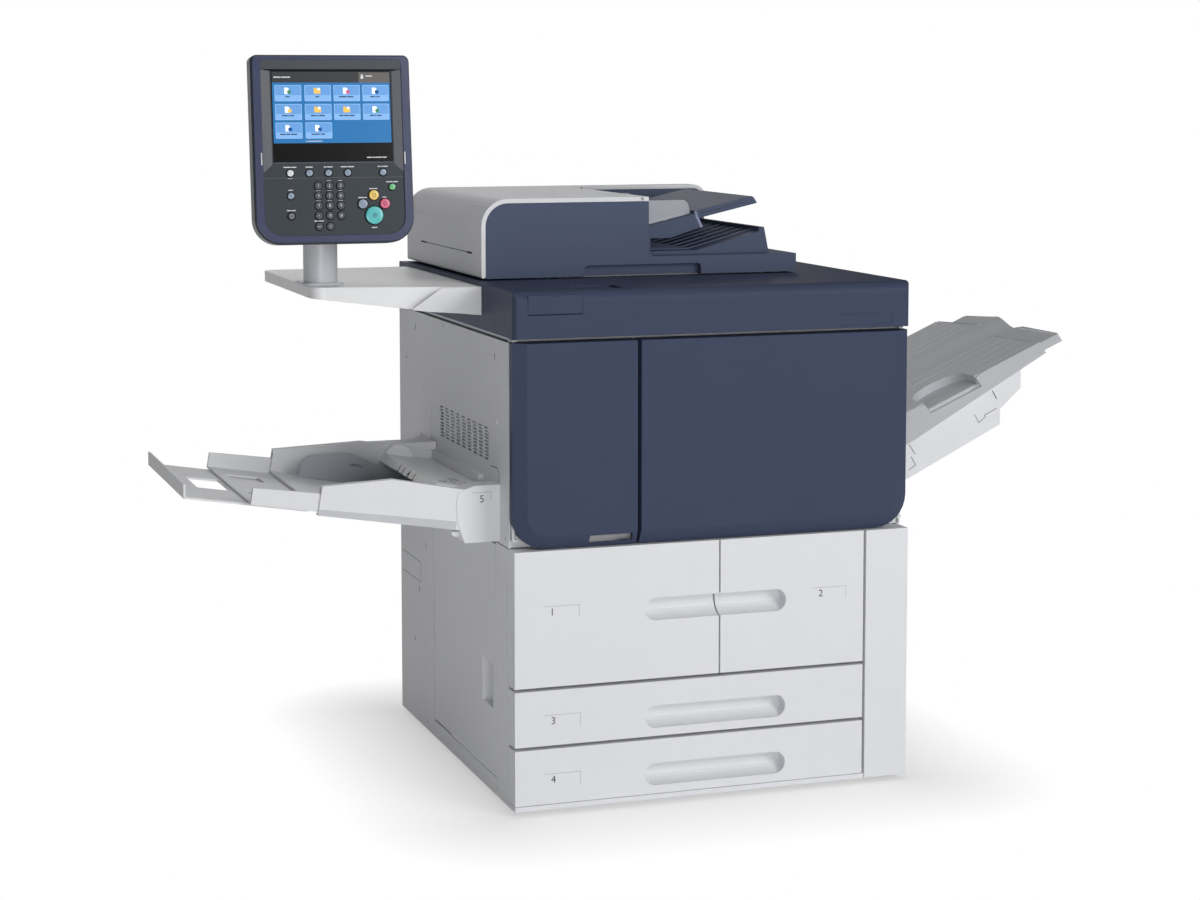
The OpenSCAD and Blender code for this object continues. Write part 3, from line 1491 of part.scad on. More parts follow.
// White shell of the feeder's head, hinged along its lower left edge
module feeder_cover() color(white) {
    t = feeder_shell_t;
    x0 = feeder_x0;
    r = feeder_r;
    axis = [cover_axis_x, cover_axis_z];
    difference() {
        slab_y(feeder_y0, feeder_y1) polygon(concat(
            [for (i = [0 : corner_steps]) let (a = 360 - 180 * i / corner_steps)
                [axis[0] + t / 2 * cos(a), axis[1] + t / 2 * sin(a)]],
            [for (i = [0 : corner_steps]) let (a = 180 - 90 * i / corner_steps)
                [x0 + r + r * cos(a), feeder_top - r + r * sin(a)]],
            [[head_x1, feeder_top], [head_x1, feeder_top - t]],
            [for (i = [0 : corner_steps]) let (a = 90 + 90 * i / corner_steps)
                [x0 + r + (r - t) * cos(a), feeder_top - r + (r - t) * sin(a)]]));
        for (y = [feeder_y0 + cover_lug_room, feeder_y1 - cover_lug_room - cover_lug_w]) {
            slab_y(y - gap, y + cover_lug_w + gap) polygon([[x0 - over, cover_axis_z - t],
                [x0 + t + over, cover_axis_z - t], [x0 + t + over, cover_axis_z + cover_lug_r + gap],
                [cover_axis_x, cover_axis_z + cover_lug_r + gap], [cover_axis_x, cover_axis_z - cover_notch],
                [x0 - over, cover_axis_z - cover_notch]]);
            rod_y(y - gap, y + cover_lug_w + gap, cover_axis_x, cover_axis_z, cover_lug_r + gap);
            rod_y(y - cover_pin_len - gap * 2, y + cover_lug_w + cover_pin_len + gap * 2,
                cover_axis_x, cover_axis_z, cover_pin_r + fit);
        }
    }
}

// Places things in the document tray's own frame: x along it from its hinge, z square to it
module tray_frame() {
    translate([tray_hinge_x, 0, tray_hinge_z]) rotate([0, -feeder_tray_tilt, 0]) children();
}

// Document tray: a deep first length, and an outer plate a step higher
module feeder_tray() color(navy) tray_frame() {
    y1 = tray_y0 + tray_w;
    seg = tray_seg_len;
    tip = feeder_tray_len;
    top = tray_t / 2 + tray_step;
    low = top - tray_out_h;
    end = tip + tray_tip_lean;
    difference() {
        union() {
            slab_y(tray_y0, y1) polygon([[-tray_t / 2, -tray_t / 2], [seg, -tray_t / 2],
                [seg + tray_step, top - tray_plate_t], [tip, top - tray_plate_t], [tip - tray_plate_t, low],
                [end, low], [tip, top], [seg, top], [seg, tray_t / 2], [-tray_t / 2, tray_t / 2]]);
            rod_y(tray_y0, y1, 0, 0, tray_t / 2);
            for (y = [tray_y0, y1 - tray_side_t]) {
                slab_y(y, y + tray_side_t) polygon([[-tray_side_in, tray_t / 2], [-tray_side_in, -tray_side_h0],
                    [tray_side_flat, -tray_side_h1], [seg + tray_side_lean, -tray_side_h2], [seg, tray_t / 2]]);
                slab_y(y, y + tray_side_t) polygon([[seg - tray_t, low], [end, low], [tip, top], [seg, top]]);
            }
            rod_y(tray_y0 - tray_pin_len, y1 + tray_pin_len, 0, 0, tray_pin_r);
        }
        // Grooves that the guides' keys run in
        for (y = guide_ys())
            block([guide_x + guide_foot_w, min(y[0], y[1]) - guide_key_w, tray_t / 2 - guide_key_h - gap],
                [guide_x + guide_foot_w + guide_key_w + gap, max(y[0], y[1]) + guide_key_w, tray_t / 2 + over]);
    }
}

tray_mid_y = tray_y0 + tray_w / 2;
// Travel of each document guide, as [outer place, inner place] of its plate
function guide_ys() = [[tray_mid_y - feeder_guide_gap / 2, tray_mid_y - feeder_guide_gap / 2 + guide_travel],
    [tray_mid_y + feeder_guide_gap / 2, tray_mid_y + feeder_guide_gap / 2 - guide_travel]];

// Document guide; side is -1 for the front one, whose foot points to the back
module feeder_guide(side) color(grey) tray_frame() {
    y = tray_mid_y + side * feeder_guide_gap / 2;
    z0 = tray_t / 2 + seat;
    y0 = side < 0 ? y - guide_t : y;
    foot0 = side < 0 ? y : y - guide_foot_w;
    corner_h = guide_h - guide_r - (guide_len - guide_r) * tan(feeder_tray_tilt);
    // The upper edge is level, as the tray slopes
    slab_y(y0, y0 + guide_t) polygon(concat([[guide_x, z0 + guide_h], [guide_x, z0], [guide_x + guide_len, z0]],
        arc(guide_x + guide_len - guide_r, z0 + corner_h, guide_r, 0)));
    block([guide_x, foot0, z0], [guide_x + guide_len, foot0 + guide_foot_w, z0 + guide_foot_t]);
    x = guide_x + guide_foot_w + gap / 2;
    block([x, y0, tray_t / 2 - guide_key_h], [x + guide_key_w, y0 + guide_t, z0]);
}

module feeder_guide_front() feeder_guide(-1);
module feeder_guide_rear() feeder_guide(1);

module feeder_roller() color(dark) {
    rod_y(roller_y, roller_y + roller_len, roller_x, roller_z, roller_r);
    rod_y(roller_y - roller_arm_t - gap, roller_y + roller_len + roller_arm_t + gap, roller_x, roller_z, roller_shaft_r);
}

module platen_pad() color("white")
    block([glass_x - pad_in, glass_y - pad_in, scanner_top + seat],
        [glass_x + glass_w + pad_in, glass_y + glass_d + pad_in, scanner_top + seat + pad_t]);

// Shelf on the cabinet's left side that carries the console
module console_shelf() color(white) {
    z1 = shelf_top;
    x0 = body_left - shelf_reach;
    intersection() {
        slab_y(shelf_y0, shelf_y1) polygon([[body_left, z1], [x0, z1], [x0, z1 - shelf_t],
            [body_left - shelf_mid, z1 - shelf_mid_drop], [body_left, z1 - shelf_root_h]]);
        slab_z(z1 - shelf_root_h, z1) polygon(concat([[body_left, shelf_y0], [body_left, shelf_y1]],
            arc(x0 + shelf_r, shelf_y1 - shelf_r, shelf_r, 90), arc(x0 + shelf_r, shelf_tip_y0 + shelf_r, shelf_r, 180)));
    }
}

module console_post() color(grey) {
    z0 = shelf_top;
    // Foot plate in two steps, the upper one smaller
    for (inset = [0, post_foot_bevel]) {
        r = post_foot_r - inset;
        slab_z(z0, z0 + (post_foot_t + inset) / 2) polygon(rounded(post_x - post_foot_w / 2 + inset,
            post_y - post_foot_w / 2 + inset, post_x + post_foot_w / 2 - inset,
            post_y + post_foot_d - post_foot_w / 2 - inset, [r, r, r, r]));
    }
    rod_z(z0 + post_foot_bevel, post_top, post_x, post_y, post_r);
    rod_z(post_top, post_top + swivel_len, post_x, post_y, swivel_r);
}

// Places things in the console's own frame: x to the right, y up its face, z out of the face
module console_frame() {
    translate([console_x, console_y, console_z]) rotate([90 - console_tilt, 0, 0]) children();
}

neck_depth = console_t + neck_back;
neck_y = console_y + neck_v * sin(console_tilt) + neck_depth * cos(console_tilt);
neck_z = console_z + neck_v * cos(console_tilt) - neck_depth * sin(console_tilt);

// Swivelling neck with the eye and pin that the console tilts on
module console_neck() color(grey) difference() {
    union() {
        rod_z(post_top + seat, post_top + seat + swivel_len + neck_cap_h, post_x, post_y, post_r);
        slab_x(post_x - neck_w / 2, post_x + neck_w / 2) polygon([
            [neck_y, neck_z - neck_arm_t / 2], [post_y, post_top + neck_cap_h], [post_y + post_r / 2, post_top + neck_cap_h],
            [post_y + post_r / 2, post_top + swivel_len + neck_cap_h], [neck_y, neck_z + neck_arm_t / 2]]);
        rod_x(post_x - neck_w / 2, post_x + neck_w / 2, neck_y, neck_z, neck_eye_r);
        rod_x(post_x - neck_w / 2 - lug_t, post_x + neck_w / 2 + lug_t, neck_y, neck_z, neck_pin_r);
    }
    rod_z(post_top - over, post_top + swivel_len + gap, post_x, post_y, swivel_r + fit);
}

pad_keys = [for (i = [0 : 2]) for (j = [0 : 3]) [pad_u + i * key_pitch, pad_v + j * key_rise_pitch, key_d]];
side_keys = [[pad_u, pad_low_v, key_d], [pad_u + key_pitch, pad_low_v, key_d],
    [help_u, help_v, row_key_d], [help_u, language_v, row_key_d], [interrupt_u, stop_v, button_d]];
row_keys = [for (u = row_us) [u, row_v, row_key_d]];
mat_keys = concat(pad_keys, side_keys, row_keys);
pad_w = pad_u + key_pitch * 2 - help_u;
pad_h = pad_v + key_rise_pitch * 3 - pad_low_v;
row_w = row_us[4] - row_us[0];
round_buttons = [[start_u, start_v, start_d], [start_u, clear_v, button_d], [stop_u, stop_v, button_d],
    [power_u, power_v, power_d]];

module console_outline(inset) {
    r = console_edge_r - inset / 2;
    low_r = console_low_r - inset / 2;
    polygon(rounded(-console_w / 2 + inset, inset, console_w / 2 - inset, console_h - inset, [low_r, low_r, r, r]));
}

module console_housing() color(dark) {
    console_frame() difference() {
        union() {
            translate([0, 0, -console_t]) linear_extrude(console_t - console_edge_r / 2) console_outline(0);
            translate([0, 0, -console_edge_r / 2]) linear_extrude(console_edge_r / 4) console_outline(front_edge_r / 2);
            translate([0, 0, -console_edge_r / 4]) linear_extrude(console_edge_r / 4) console_outline(front_edge_r * 1.5);
        }
        // Face set back inside its rim
        translate([0, 0, -face_depth]) linear_extrude(face_depth + over) polygon(rounded(-console_w / 2 + face_rim,
            face_low_rim, console_w / 2 - face_rim, console_h - face_top_rim,
            [console_low_r - face_low_rim, console_low_r - face_low_rim, console_edge_r / 2, console_edge_r / 2]));
        // Hollow that holds the key mat and the buttons
        translate([-console_w / 2 + face_rim, face_low_rim, -console_t + console_back_wall])
            cube([console_w - face_rim * 2, screen_v - screen_ledge * 2 - face_low_rim,
                console_t - console_back_wall - console_wall - face_depth]);
        // Seat and window of the screen
        translate([-screen_w / 2 - screen_gap, screen_v - screen_gap, -face_depth - screen_t])
            cube([screen_w + screen_gap * 2, screen_h + screen_gap * 2, screen_t + over]);
        for (k = concat(round_buttons, mat_keys))
            translate([k[0], k[1], -console_t / 2]) cylinder(h = console_t, d = k[2] + key_gap * 2);
    }
    for (side = [-1, 1]) {
        x0 = post_x + side * (neck_w / 2 + lug_room + lug_t / 2) - lug_t / 2;
        difference() {
            union() {
                rod_x(x0, x0 + lug_t, neck_y, neck_z, neck_eye_r);
                console_frame() translate([x0 - console_x + lug_step, neck_v - lug_root_h / 2, -console_t - neck_back])
                    cube([lug_t - lug_step * 2, lug_root_h, neck_back]);
            }
            rod_x(x0 - over, x0 + lug_t + over, neck_y, neck_z, neck_pin_r + fit);
        }
    }
}

module touch_screen() color("steelblue") console_frame()
    translate([-screen_w / 2, screen_v, -face_depth - screen_t + seat]) cube([screen_w, screen_h, screen_t - seat]);

// Round button whose flange lies behind the console's front wall
module round_button(b) console_frame() {
    back = -face_depth - console_wall - key_gap;
    translate([b[0], b[1], back]) cylinder(h = -back + button_rise, d = b[2]);
    translate([b[0], b[1], back - button_flange]) cylinder(h = button_flange, d = b[2] + key_lip);
}

module start_button() color("turquoise") round_button(round_buttons[0]);
module clear_button() color("gold") round_button(round_buttons[1]);
module stop_button() color("palevioletred") round_button(round_buttons[2]);
module power_button() color("mediumseagreen") round_button(round_buttons[3]);

// Silicone keys on their three sheets: the pad, the row under the screen, and the key by the start button
module key_mat() color(light_grey) console_frame() {
    back = -face_depth - console_wall - key_gap - key_base_t;
    side = row_key_d / 2 + key_room;
    translate([0, 0, back]) linear_extrude(key_base_t) {
        translate([help_u - side, pad_low_v - side]) square([pad_w + side * 2, pad_h + side * 2]);
        translate([row_us[0] - side, row_v - side]) square([row_w + side * 2, side * 2]);
        translate([interrupt_u, stop_v]) circle(d = button_d + key_lip);
    }
    for (k = mat_keys)
        translate([k[0], k[1], back + key_base_t / 2]) cylinder(h = -back - key_base_t / 2 + key_rise - face_depth, d = k[2]);
}

// Places things in the bypass tray's own frame: x along its slope towards the cabinet, from its root
module bypass_frame() {
    translate([body_left, 0, bypass_z]) rotate([0, bypass_slope, 0]) children();
}

// Hollow side wall of the main tray, open at its outer end for the wall of the extension
// The line is [height at the root, place of the peak, height of the peak, height at the tip]
module bypass_wall(y0, y1, line) difference() {
    slab_y(y0, y1) polygon([[line[0], -wall_drop], [line[0], line[0]], [0, line[0]], [-line[1], line[2]],
        [-bypass_len, line[3]], [-bypass_len, -wall_drop]]);
    block([-bypass_len - over, y0 + wall_skin, -wall_drop + lip_t],
        [-bypass_len + inner_overlap, y1 - wall_skin, wall_tip_h - wall_skin]);
}

module bypass_tray() color(white) {
    difference() {
        bypass_frame() difference() {
            union() {
                block([-bypass_len, bypass_y0 + wall_t - wall_skin, -floor_t],
                    [wall_drop, bypass_y1 - wall_t + wall_skin, 0]);
                bypass_wall(bypass_y0, bypass_y0 + wall_t, front_wall_line);
                bypass_wall(bypass_y1 - wall_t, bypass_y1, rear_wall_line);
            }
            // Grooves for the keys of the two guides
            for (r = bypass_ys())
                block([-bypass_guide_x - bypass_key_w - gap, min(r[0], r[1]) - bypass_key_w, -bypass_key_h - gap],
                    [-bypass_guide_x, max(r[0], r[1]) + bypass_key_w, over]);
            // The extension's plate passes through the inner skins
            for (y = [bypass_y0, bypass_y1 - wall_t])
                block([-bypass_len - over, y - over + wall_skin, -wall_drop + lip_t],
                    [-bypass_len + inner_overlap, y + wall_t + over - wall_skin, -floor_t - gap / 2]);
            block([-bypass_len - over, bypass_y0 + wall_skin, -wall_drop + lip_t],
                [-bypass_len + inner_overlap, bypass_y1 - wall_skin, -floor_t]);
        }
        // Nothing of the sloping tray reaches into the cabinet
        block([body_left, bypass_y0 - over, bypass_z - block_h],
            [body_left + block_h * 2, bypass_y1 + over, bypass_z + block_h * 2]);
    }
    // Block at the front of the tray's root, on the cabinet's side
    y0 = bypass_y0;
    side_h = block_h - block_bevel_h;
    slab_y(y0 - over, y0 + block_t) polygon(concat([[body_left, block_z], [body_left, block_z + block_h],
        [body_left - block_w + block_bevel_w, block_z + block_h]],
        [for (i = [0 : corner_steps]) let (s = i / corner_steps)
            [body_left - block_w + block_curve * (curve_share * s * s - s), block_z + side_h - side_h * s]]));
    // Housing at the back of the root
    slab_y(bypass_y1 - wall_t + wall_skin, bypass_y1 + rear_block_d) polygon([[body_left, block_z],
        [body_left, block_z + rear_block_h], [body_left - block_w / 2, block_z + rear_block_h - rear_block_slope],
        [body_left - block_w, block_z + block_h - rear_block_drop], [body_left - block_w, block_z + block_curve]]);
    slab_y(bypass_y1 - wall_t + wall_skin, bypass_y1 + rear_box_d) polygon([[body_left, block_z + rear_block_h],
        [body_left - rear_box_w, block_z + rear_block_h], [body_left - rear_box_w, block_z + rear_block_h - rear_box_h],
        [body_left, block_z + block_curve]]);
}

bypass_mid = -bypass_y;
// Travel of each bypass guide, as [outer place, inner place] of its plate
function bypass_ys() = [[bypass_mid - bypass_guide_gap / 2, bypass_mid - bypass_guide_gap / 2 + bypass_travel],
    [bypass_mid + bypass_guide_gap / 2, bypass_mid + bypass_guide_gap / 2 - bypass_travel]];

// Section of the feed head's cover, parallel to the tray, with a lip along its outer edge
module feed_head_outline(inset) {
    x = body_left;
    z = bypass_z + head_root_h;
    lip_x = x - head_w - head_lip_w;
    lip_z = z + head_w * tan(bypass_slope) - head_lip_h;
    polygon([[x + inset, z - head_side_h - inset * 2], [x + inset, z - inset],
        [x - head_w + inset / 2, z + head_w * tan(bypass_slope) - inset], [lip_x + inset, lip_z],
        [lip_x + inset, lip_z - inset * 2]]);
}

// Cover of the feed head, a bent shell over the rollers at the cabinet's side, with a round cap at its rear
module bypass_feed_head() color(white) {
    y0 = bypass_y0 + block_t + gap;
    y1 = bypass_y1 - wall_t - gap;
    shaft_z = bypass_z + feed_shaft_z;
    top = bypass_z + head_root_h;
    difference() {
        slab_y(y0, y1) feed_head_outline(0);
        slab_y(y0 + head_t, y1 - head_t) feed_head_outline(head_t);
    }
    intersection() {
        rod_y(y1 - head_cap_len, y1, body_left - head_cap_x, bypass_z + head_cap_z, head_cap_r);
        block([body_left - head_w, y1 - head_cap_len, top - head_t], [body_left, y1, top + head_cap_r * 2]);
    }
    // Roller shaft with its two feed rollers, under the cover
    x = body_left - head_w / 2;
    rod_y(y0, y1, x, shaft_z, rod_r);
    for (y = [bypass_mid - head_w / 2, bypass_mid + head_w / 4])
        rod_y(y, y + roller_w, x, shaft_z, roller_r);
    // Side arms that carry the shaft
    for (y = [y0, y1 - head_t])
        block([x - rod_r * 2, y, shaft_z - rod_r * 2], [x + rod_r * 2, y + head_t, top]);
}

// Paper guide of the bypass tray; side is -1 for the front one
module bypass_guide(side) color(grey) bypass_frame() {
    y = bypass_mid + side * bypass_guide_gap / 2;
    y0 = side < 0 ? y - bypass_guide_t : y;
    foot0 = side < 0 ? y : y - bypass_foot_w;
    x0 = -bypass_guide_end - bypass_guide_len;
    x1 = -bypass_guide_end;
    slab_y(y0, y0 + bypass_guide_t) polygon([[x0, seat], [x1, seat], [x1, bypass_guide_nose],
        [x1 - bypass_guide_cut, bypass_guide_low], [x1 - bypass_guide_step, bypass_guide_h],
        [x0 + guide_r, bypass_guide_low], [x0, bypass_guide_low - guide_r]]);
    block([-bypass_guide_x - bypass_foot_w, foot0, seat],
        [-bypass_guide_x, foot0 + bypass_foot_w, seat + bypass_foot_t]);
    block([-bypass_guide_x - bypass_key_w - gap / 2, y0, -bypass_key_h],
        [-bypass_guide_x - gap / 2, y0 + bypass_guide_t, seat + over]);
}

module bypass_guide_front() bypass_guide(-1);
module bypass_guide_rear() bypass_guide(1);

inner_top = -floor_t - plate_gap;
outer_top = inner_top - inner_plate_t - plate_gap;

// Inner extension: a plate under the main tray's floor, with side walls that slide in its walls
module bypass_extension_inner() color(white) bypass_frame() {
    x0 = -bypass_len - inner_len;
    x1 = -bypass_len + inner_overlap - inner_len;
    low = inner_top - inner_plate_t;
    wall_in = (wall_t - inner_wall_t) / 2;
    difference() {
        union() {
            block([x0, bypass_y0 + wall_in + over, low], [x1, bypass_y1 - wall_in - over, inner_top]);
            for (y = [bypass_y0 + wall_in, bypass_y1 - wall_in - inner_wall_t])
                slab_y(y, y + inner_wall_t) polygon([[x0, low], [x0, inner_wall_h], [x1, inner_wall_h + wall_drop / 4], [x1, low]]);
        }
        // Windows that show the outer extension through the plate
        for (y = [bypass_mid - window_d, bypass_mid + window_d / 2])
            block([x0 + window_in, y, low - over], [x0 + window_in + window_w, y + window_d / 2, inner_top + over]);
    }
}

// Outer extension: the end plate with its upturned lip
module bypass_extension_outer() color(white) bypass_frame() {
    x0 = -bypass_len - inner_len - outer_len;
    x1 = x0 + outer_len + outer_overlap;
    y0 = bypass_y0 + outer_side_in;
    y1 = bypass_y1 - outer_side_in;
    low = outer_top - outer_plate_t;
    difference() {
        union() {
            block([x0, y0, low], [x1, y1, outer_top]);
            slab_y(y0, y1) polygon([[x0, low], [x0 - outer_lip_t, outer_lip_h], [x0, outer_lip_h], [x0 + outer_lip_t, low]]);
        }
        block([x0 + outer_window_x, bypass_mid - window_d / 2, low - over],
            [x0 + outer_window_x + window_w, bypass_mid + window_d / 2, outer_top + over]);
    }
}

// Places things in the catch tray's own frame: x along its slope away from the cabinet
module catch_frame() {
    translate([body_right, 0, catch_z]) rotate([0, -catch_slope, 0]) children();
}

// Upper line of the catch tray's section, from its front side to its rear side
function catch_line(y0, y1, low, high) = concat([[y0 - low * side_lean, -low], [y0, 0], [ramp_y0, 0]],
    [for (i = [1 : corner_steps]) let (s = i / corner_steps)
        [ramp_y0 + (ramp_y1 - ramp_y0) * s, ramp_h * (1 - cos(180 * s)) / 2]], [[y1, ramp_h]],
    high > 0 ? [[y1, ramp_h - high]] : []);

// Sheet of the tray, as the band between two such lines
module catch_sheet(y0, y1, low, high, t, down) {
    top = catch_line(y0, y1, low, high);
    under = catch_line(y0 + t, y1 - (high > 0 ? t : 0), low, high);
    polygon(concat([for (p = top) [p[0], p[1] - down]],
        [for (i = [len(under) - 1 : -1 : 0]) [under[i][0], under[i][1] - down - (i == 0 || (high > 0 && i == len(under) - 1) ? 0 : t)]]));
}

module scoop_outline(inset) {
    r = scoop_r - inset;
    polygon(concat(
        [for (i = [0 : corner_steps * 2]) let (a = 180 * i / corner_steps / 2)
            [scoop_x + r * cos(a), catch_y0 + (scoop_r + r * sin(a)) * scoop_share]],
        [[scoop_x - r, catch_y0 - catch_side_h], [scoop_x + r, catch_y0 - catch_side_h]]));
}

module catch_tray() color(light_grey) difference() {
    catch_frame() whole_catch_tray();
    block([body_right - catch_side_h * 2, catch_y0 - catch_side_h, catch_z - catch_side_h * 2],
        [body_right + seat, catch_y1 + over, catch_z + catch_side_h]);
}

module whole_catch_tray() {
    low = catch_side_h;
    t = catch_t;
    difference() {
        union() {
            difference() {
                slab_x(-low, catch_len) catch_sheet(catch_y0, catch_y1, low, far_side_h, t, 0);
                slab_z(-scoop_drop - t - over, over) scoop_outline(t);
            }
            // Scooped hollow for a hand, lower than the tray
            intersection() {
                difference() {
                    slab_z(-scoop_drop - t, 0) scoop_outline(0);
                    slab_z(-scoop_drop, over) scoop_outline(t);
                }
                block([0, catch_y0 + t, -low], [catch_len, ramp_y0, 0]);
            }
        }
        // Front side dipping along the scoop, and its lower edge slanted up to the tip
        slab_y(catch_y0 - low, catch_y0 + t + seat) polygon(concat([[scoop_x + dip_w, over], [scoop_x - dip_w, over]],
            [for (i = [0 : corner_steps * 2]) let (s = i / corner_steps / 2)
                [scoop_x - dip_w + dip_w * 2 * s, -scoop_drop * (1 - cos(360 * s)) / 2]]));
        slab_y(catch_y0 - low, catch_y0 + t) polygon([[side_slant_x, -low - over], [catch_len + over, -side_tip_h],
            [catch_len + over, -low - over]]);
        // Cut corners and the notch over the extension
        slab_z(-low, ramp_h + over) polygon([[catch_len - corner_cut, catch_y1 + over], [catch_len + over, catch_y1 + over],
            [catch_len + over, ramp_y1], [catch_len - t, ramp_y1]]);
        slab_z(-low, ramp_h + over) polygon([[catch_len + over, ramp_y0 - corner_cut / 2], [catch_len + over, ramp_y1 - t],
            [catch_len - t, ramp_y1 - t], [catch_len - corner_cut, ramp_y0]]);
        slab_z(-low - over, over) polygon([[catch_len - corner_cut / 2, catch_y0 - low], [catch_len + over, catch_y0 + corner_cut],
            [catch_len + over, catch_y0 - low]]);
    }
}

ext_down = catch_t + ext_gap;
ext_x0 = catch_len - ext_overlap;

// Extension of the catch tray, a sheet of the same section that slides under it
module catch_extension() color(light_grey) catch_frame() difference() {
    slab_x(ext_x0, catch_len + catch_out)
        catch_sheet(catch_y0 + catch_t * 2, ext_y1, side_tip_h, 0, ext_t, ext_down);
    slab_z(-catch_side_h, ramp_h) polygon([[catch_len + catch_out - corner_cut, ext_y1 + over],
        [catch_len + catch_out + over, ext_y1 + over], [catch_len + catch_out + over, ramp_y1]]);
    slab_z(-catch_side_h, ramp_h) polygon([[catch_len + catch_out + over, ramp_y0 - corner_cut],
        [catch_len + catch_out + over, ramp_y1], [catch_len + catch_out - corner_cut / 2, ramp_y0]]);
    slab_z(-catch_side_h, ramp_h) polygon([[catch_len + catch_out - corner_cut / 2, catch_y0 - catch_side_h],
        [catch_len + catch_out + over, catch_y0 + corner_cut], [catch_len + catch_out + over, catch_y0 - catch_side_h]]);
    slab_y(catch_y0 - catch_side_h, catch_y0 + catch_t * 2) polygon([[ext_x0 - over, -catch_side_h],
        [ext_x0 - over, -side_tip_h + over * 2], [catch_len + catch_out + over, -side_tip_h + over * 2],
        [catch_len + catch_out + over, -catch_side_h]]);
}

// White bracket under the catch tray, stepped down at its tip for the extension
module catch_bracket() color(white) {
    rise = tan(catch_slope);
    under = (catch_t + seat) / cos(catch_slope);
    low = (catch_t + ext_gap + ext_t + seat) / cos(catch_slope);
    step_x = catch_reach - bracket_step_in;
    tip_x = catch_reach - bracket_tip_in;
    low_x = catch_reach - bracket_low_in;
    difference() {
        slab_y(catch_y0 + bracket_in, catch_y0 + bracket_in + bracket_w) translate([body_right, catch_z]) polygon([
            [0, -bracket_root_drop], [step_x, step_x * rise - bracket_step_low],
            [step_x, step_x * rise - bracket_step_high], [tip_x, tip_x * rise - bracket_tip_low],
            [tip_x, tip_x * rise - low], [low_x, low_x * rise - low], [low_x, low_x * rise - under], [0, -under]]);
        // Room for the tray's scoop
        catch_frame() slab_z(-scoop_drop - catch_t - gap, catch_side_h) scoop_outline(-gap);
    }
}

lower_frame();
upper_frame();
caster_wheel_1();
caster_wheel_2();
caster_wheel_3();
caster_wheel_4();
leveling_feet();
base_cover();
left_rear_panel();
left_upper_panel();
right_lower_cover();
right_upper_panel();
rear_cover();
front_bezel();
left_lower_door();
front_door_left();
front_door_right();
drawer_1_front();
drawer_2_front();
drawer_3_front();
drawer_4_front();
drawer_1_bin();
drawer_2_bin();
drawer_3_bin();
drawer_4_bin();
lift_plate_1();
lift_plate_2();
toner_cartridge();
transport_drawer();
transport_lever();
scanner_housing();
usb_flap();
platen_glass();
scan_carriage();
feeder_base();
feeder_cover();
feeder_tray();
feeder_guide_front();
feeder_guide_rear();
feeder_roller();
platen_pad();
console_shelf();
console_post();
console_neck();
console_housing();
touch_screen();
start_button();
stop_button();
clear_button();
power_button();
key_mat();
bypass_tray();
bypass_feed_head();
bypass_guide_front();
bypass_guide_rear();
bypass_extension_inner();
bypass_extension_outer();
catch_bracket();
catch_tray();
catch_extension();
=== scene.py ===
"""Looks of the digital production printer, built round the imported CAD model."""
import json
import math

import bmesh
import bpy
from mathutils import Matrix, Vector


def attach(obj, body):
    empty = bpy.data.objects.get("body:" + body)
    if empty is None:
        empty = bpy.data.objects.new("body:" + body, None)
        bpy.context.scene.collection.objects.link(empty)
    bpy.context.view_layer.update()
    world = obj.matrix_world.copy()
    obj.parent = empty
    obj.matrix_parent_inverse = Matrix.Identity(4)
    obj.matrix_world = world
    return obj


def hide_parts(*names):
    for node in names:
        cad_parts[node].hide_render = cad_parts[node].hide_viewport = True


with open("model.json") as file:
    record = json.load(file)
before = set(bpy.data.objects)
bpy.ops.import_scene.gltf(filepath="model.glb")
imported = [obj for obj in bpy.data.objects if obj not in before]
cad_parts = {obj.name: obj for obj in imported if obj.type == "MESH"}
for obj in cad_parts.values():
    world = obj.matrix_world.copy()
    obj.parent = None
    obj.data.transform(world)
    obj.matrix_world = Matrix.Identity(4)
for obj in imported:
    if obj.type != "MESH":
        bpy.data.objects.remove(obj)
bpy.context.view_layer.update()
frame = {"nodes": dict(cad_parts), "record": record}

NODES = frame["nodes"]
# Camera, floor and lights are written in metres, and detail pieces in millimetres
MM = 0.001

# Planes in millimetres: the cabinet's left and right side and back, the drawers' fronts, the doors' insides
LEFT, RIGHT, BACK, DRAWER_FRONTS, DOOR_INSIDES = -311.5, 441.5, 395, -394.5, -392
# Slopes of the trays in degrees
TRAY_5_SLOPE, DOCUMENT_SLOPE, CATCH_SLOPE = 9.2, 12.7, 23.7
# Print, seams and trim start this far inside the surface that carries them, in millimetres
SUNK = -0.3

# The photograph's viewpoint, in metres and degrees, with part of its vertical shift turned into a pitch
CAMERA_PLACE = (-1.5334, -4.3922, 1.2793)
CAMERA_PITCH, CAMERA_TURN = -5.183, -19.027
CAMERA_LENS, CAMERA_SHIFT = 73.348, -0.12


def make_camera():
    data = bpy.data.cameras.new("camera")
    data.lens = CAMERA_LENS
    data.sensor_width = 36
    data.shift_y = CAMERA_SHIFT
    data.clip_start, data.clip_end = 0.1, 60
    camera = bpy.data.objects.new("camera", data)
    camera.location = CAMERA_PLACE
    camera.rotation_euler = (math.radians(90 + CAMERA_PITCH), 0, math.radians(CAMERA_TURN))
    bpy.context.collection.objects.link(camera)
    bpy.context.scene.camera = camera


make_camera()


# Materials

def new_material(name):
    material = bpy.data.materials.new(name)
    material.use_nodes = True
    tree = material.node_tree
    shader = tree.nodes["Principled BSDF"]
    return material, tree, shader


def coordinates(tree, scale):
    """Object coordinates in metres times scale, so that grain has its real size on every piece."""
    place = tree.nodes.new("ShaderNodeTexCoord")
    mapping = tree.nodes.new("ShaderNodeMapping")
    mapping.inputs["Scale"].default_value = scale if isinstance(scale, tuple) else (scale,) * 3
    tree.links.new(place.outputs["Object"], mapping.inputs["Vector"])
    return mapping.outputs["Vector"]


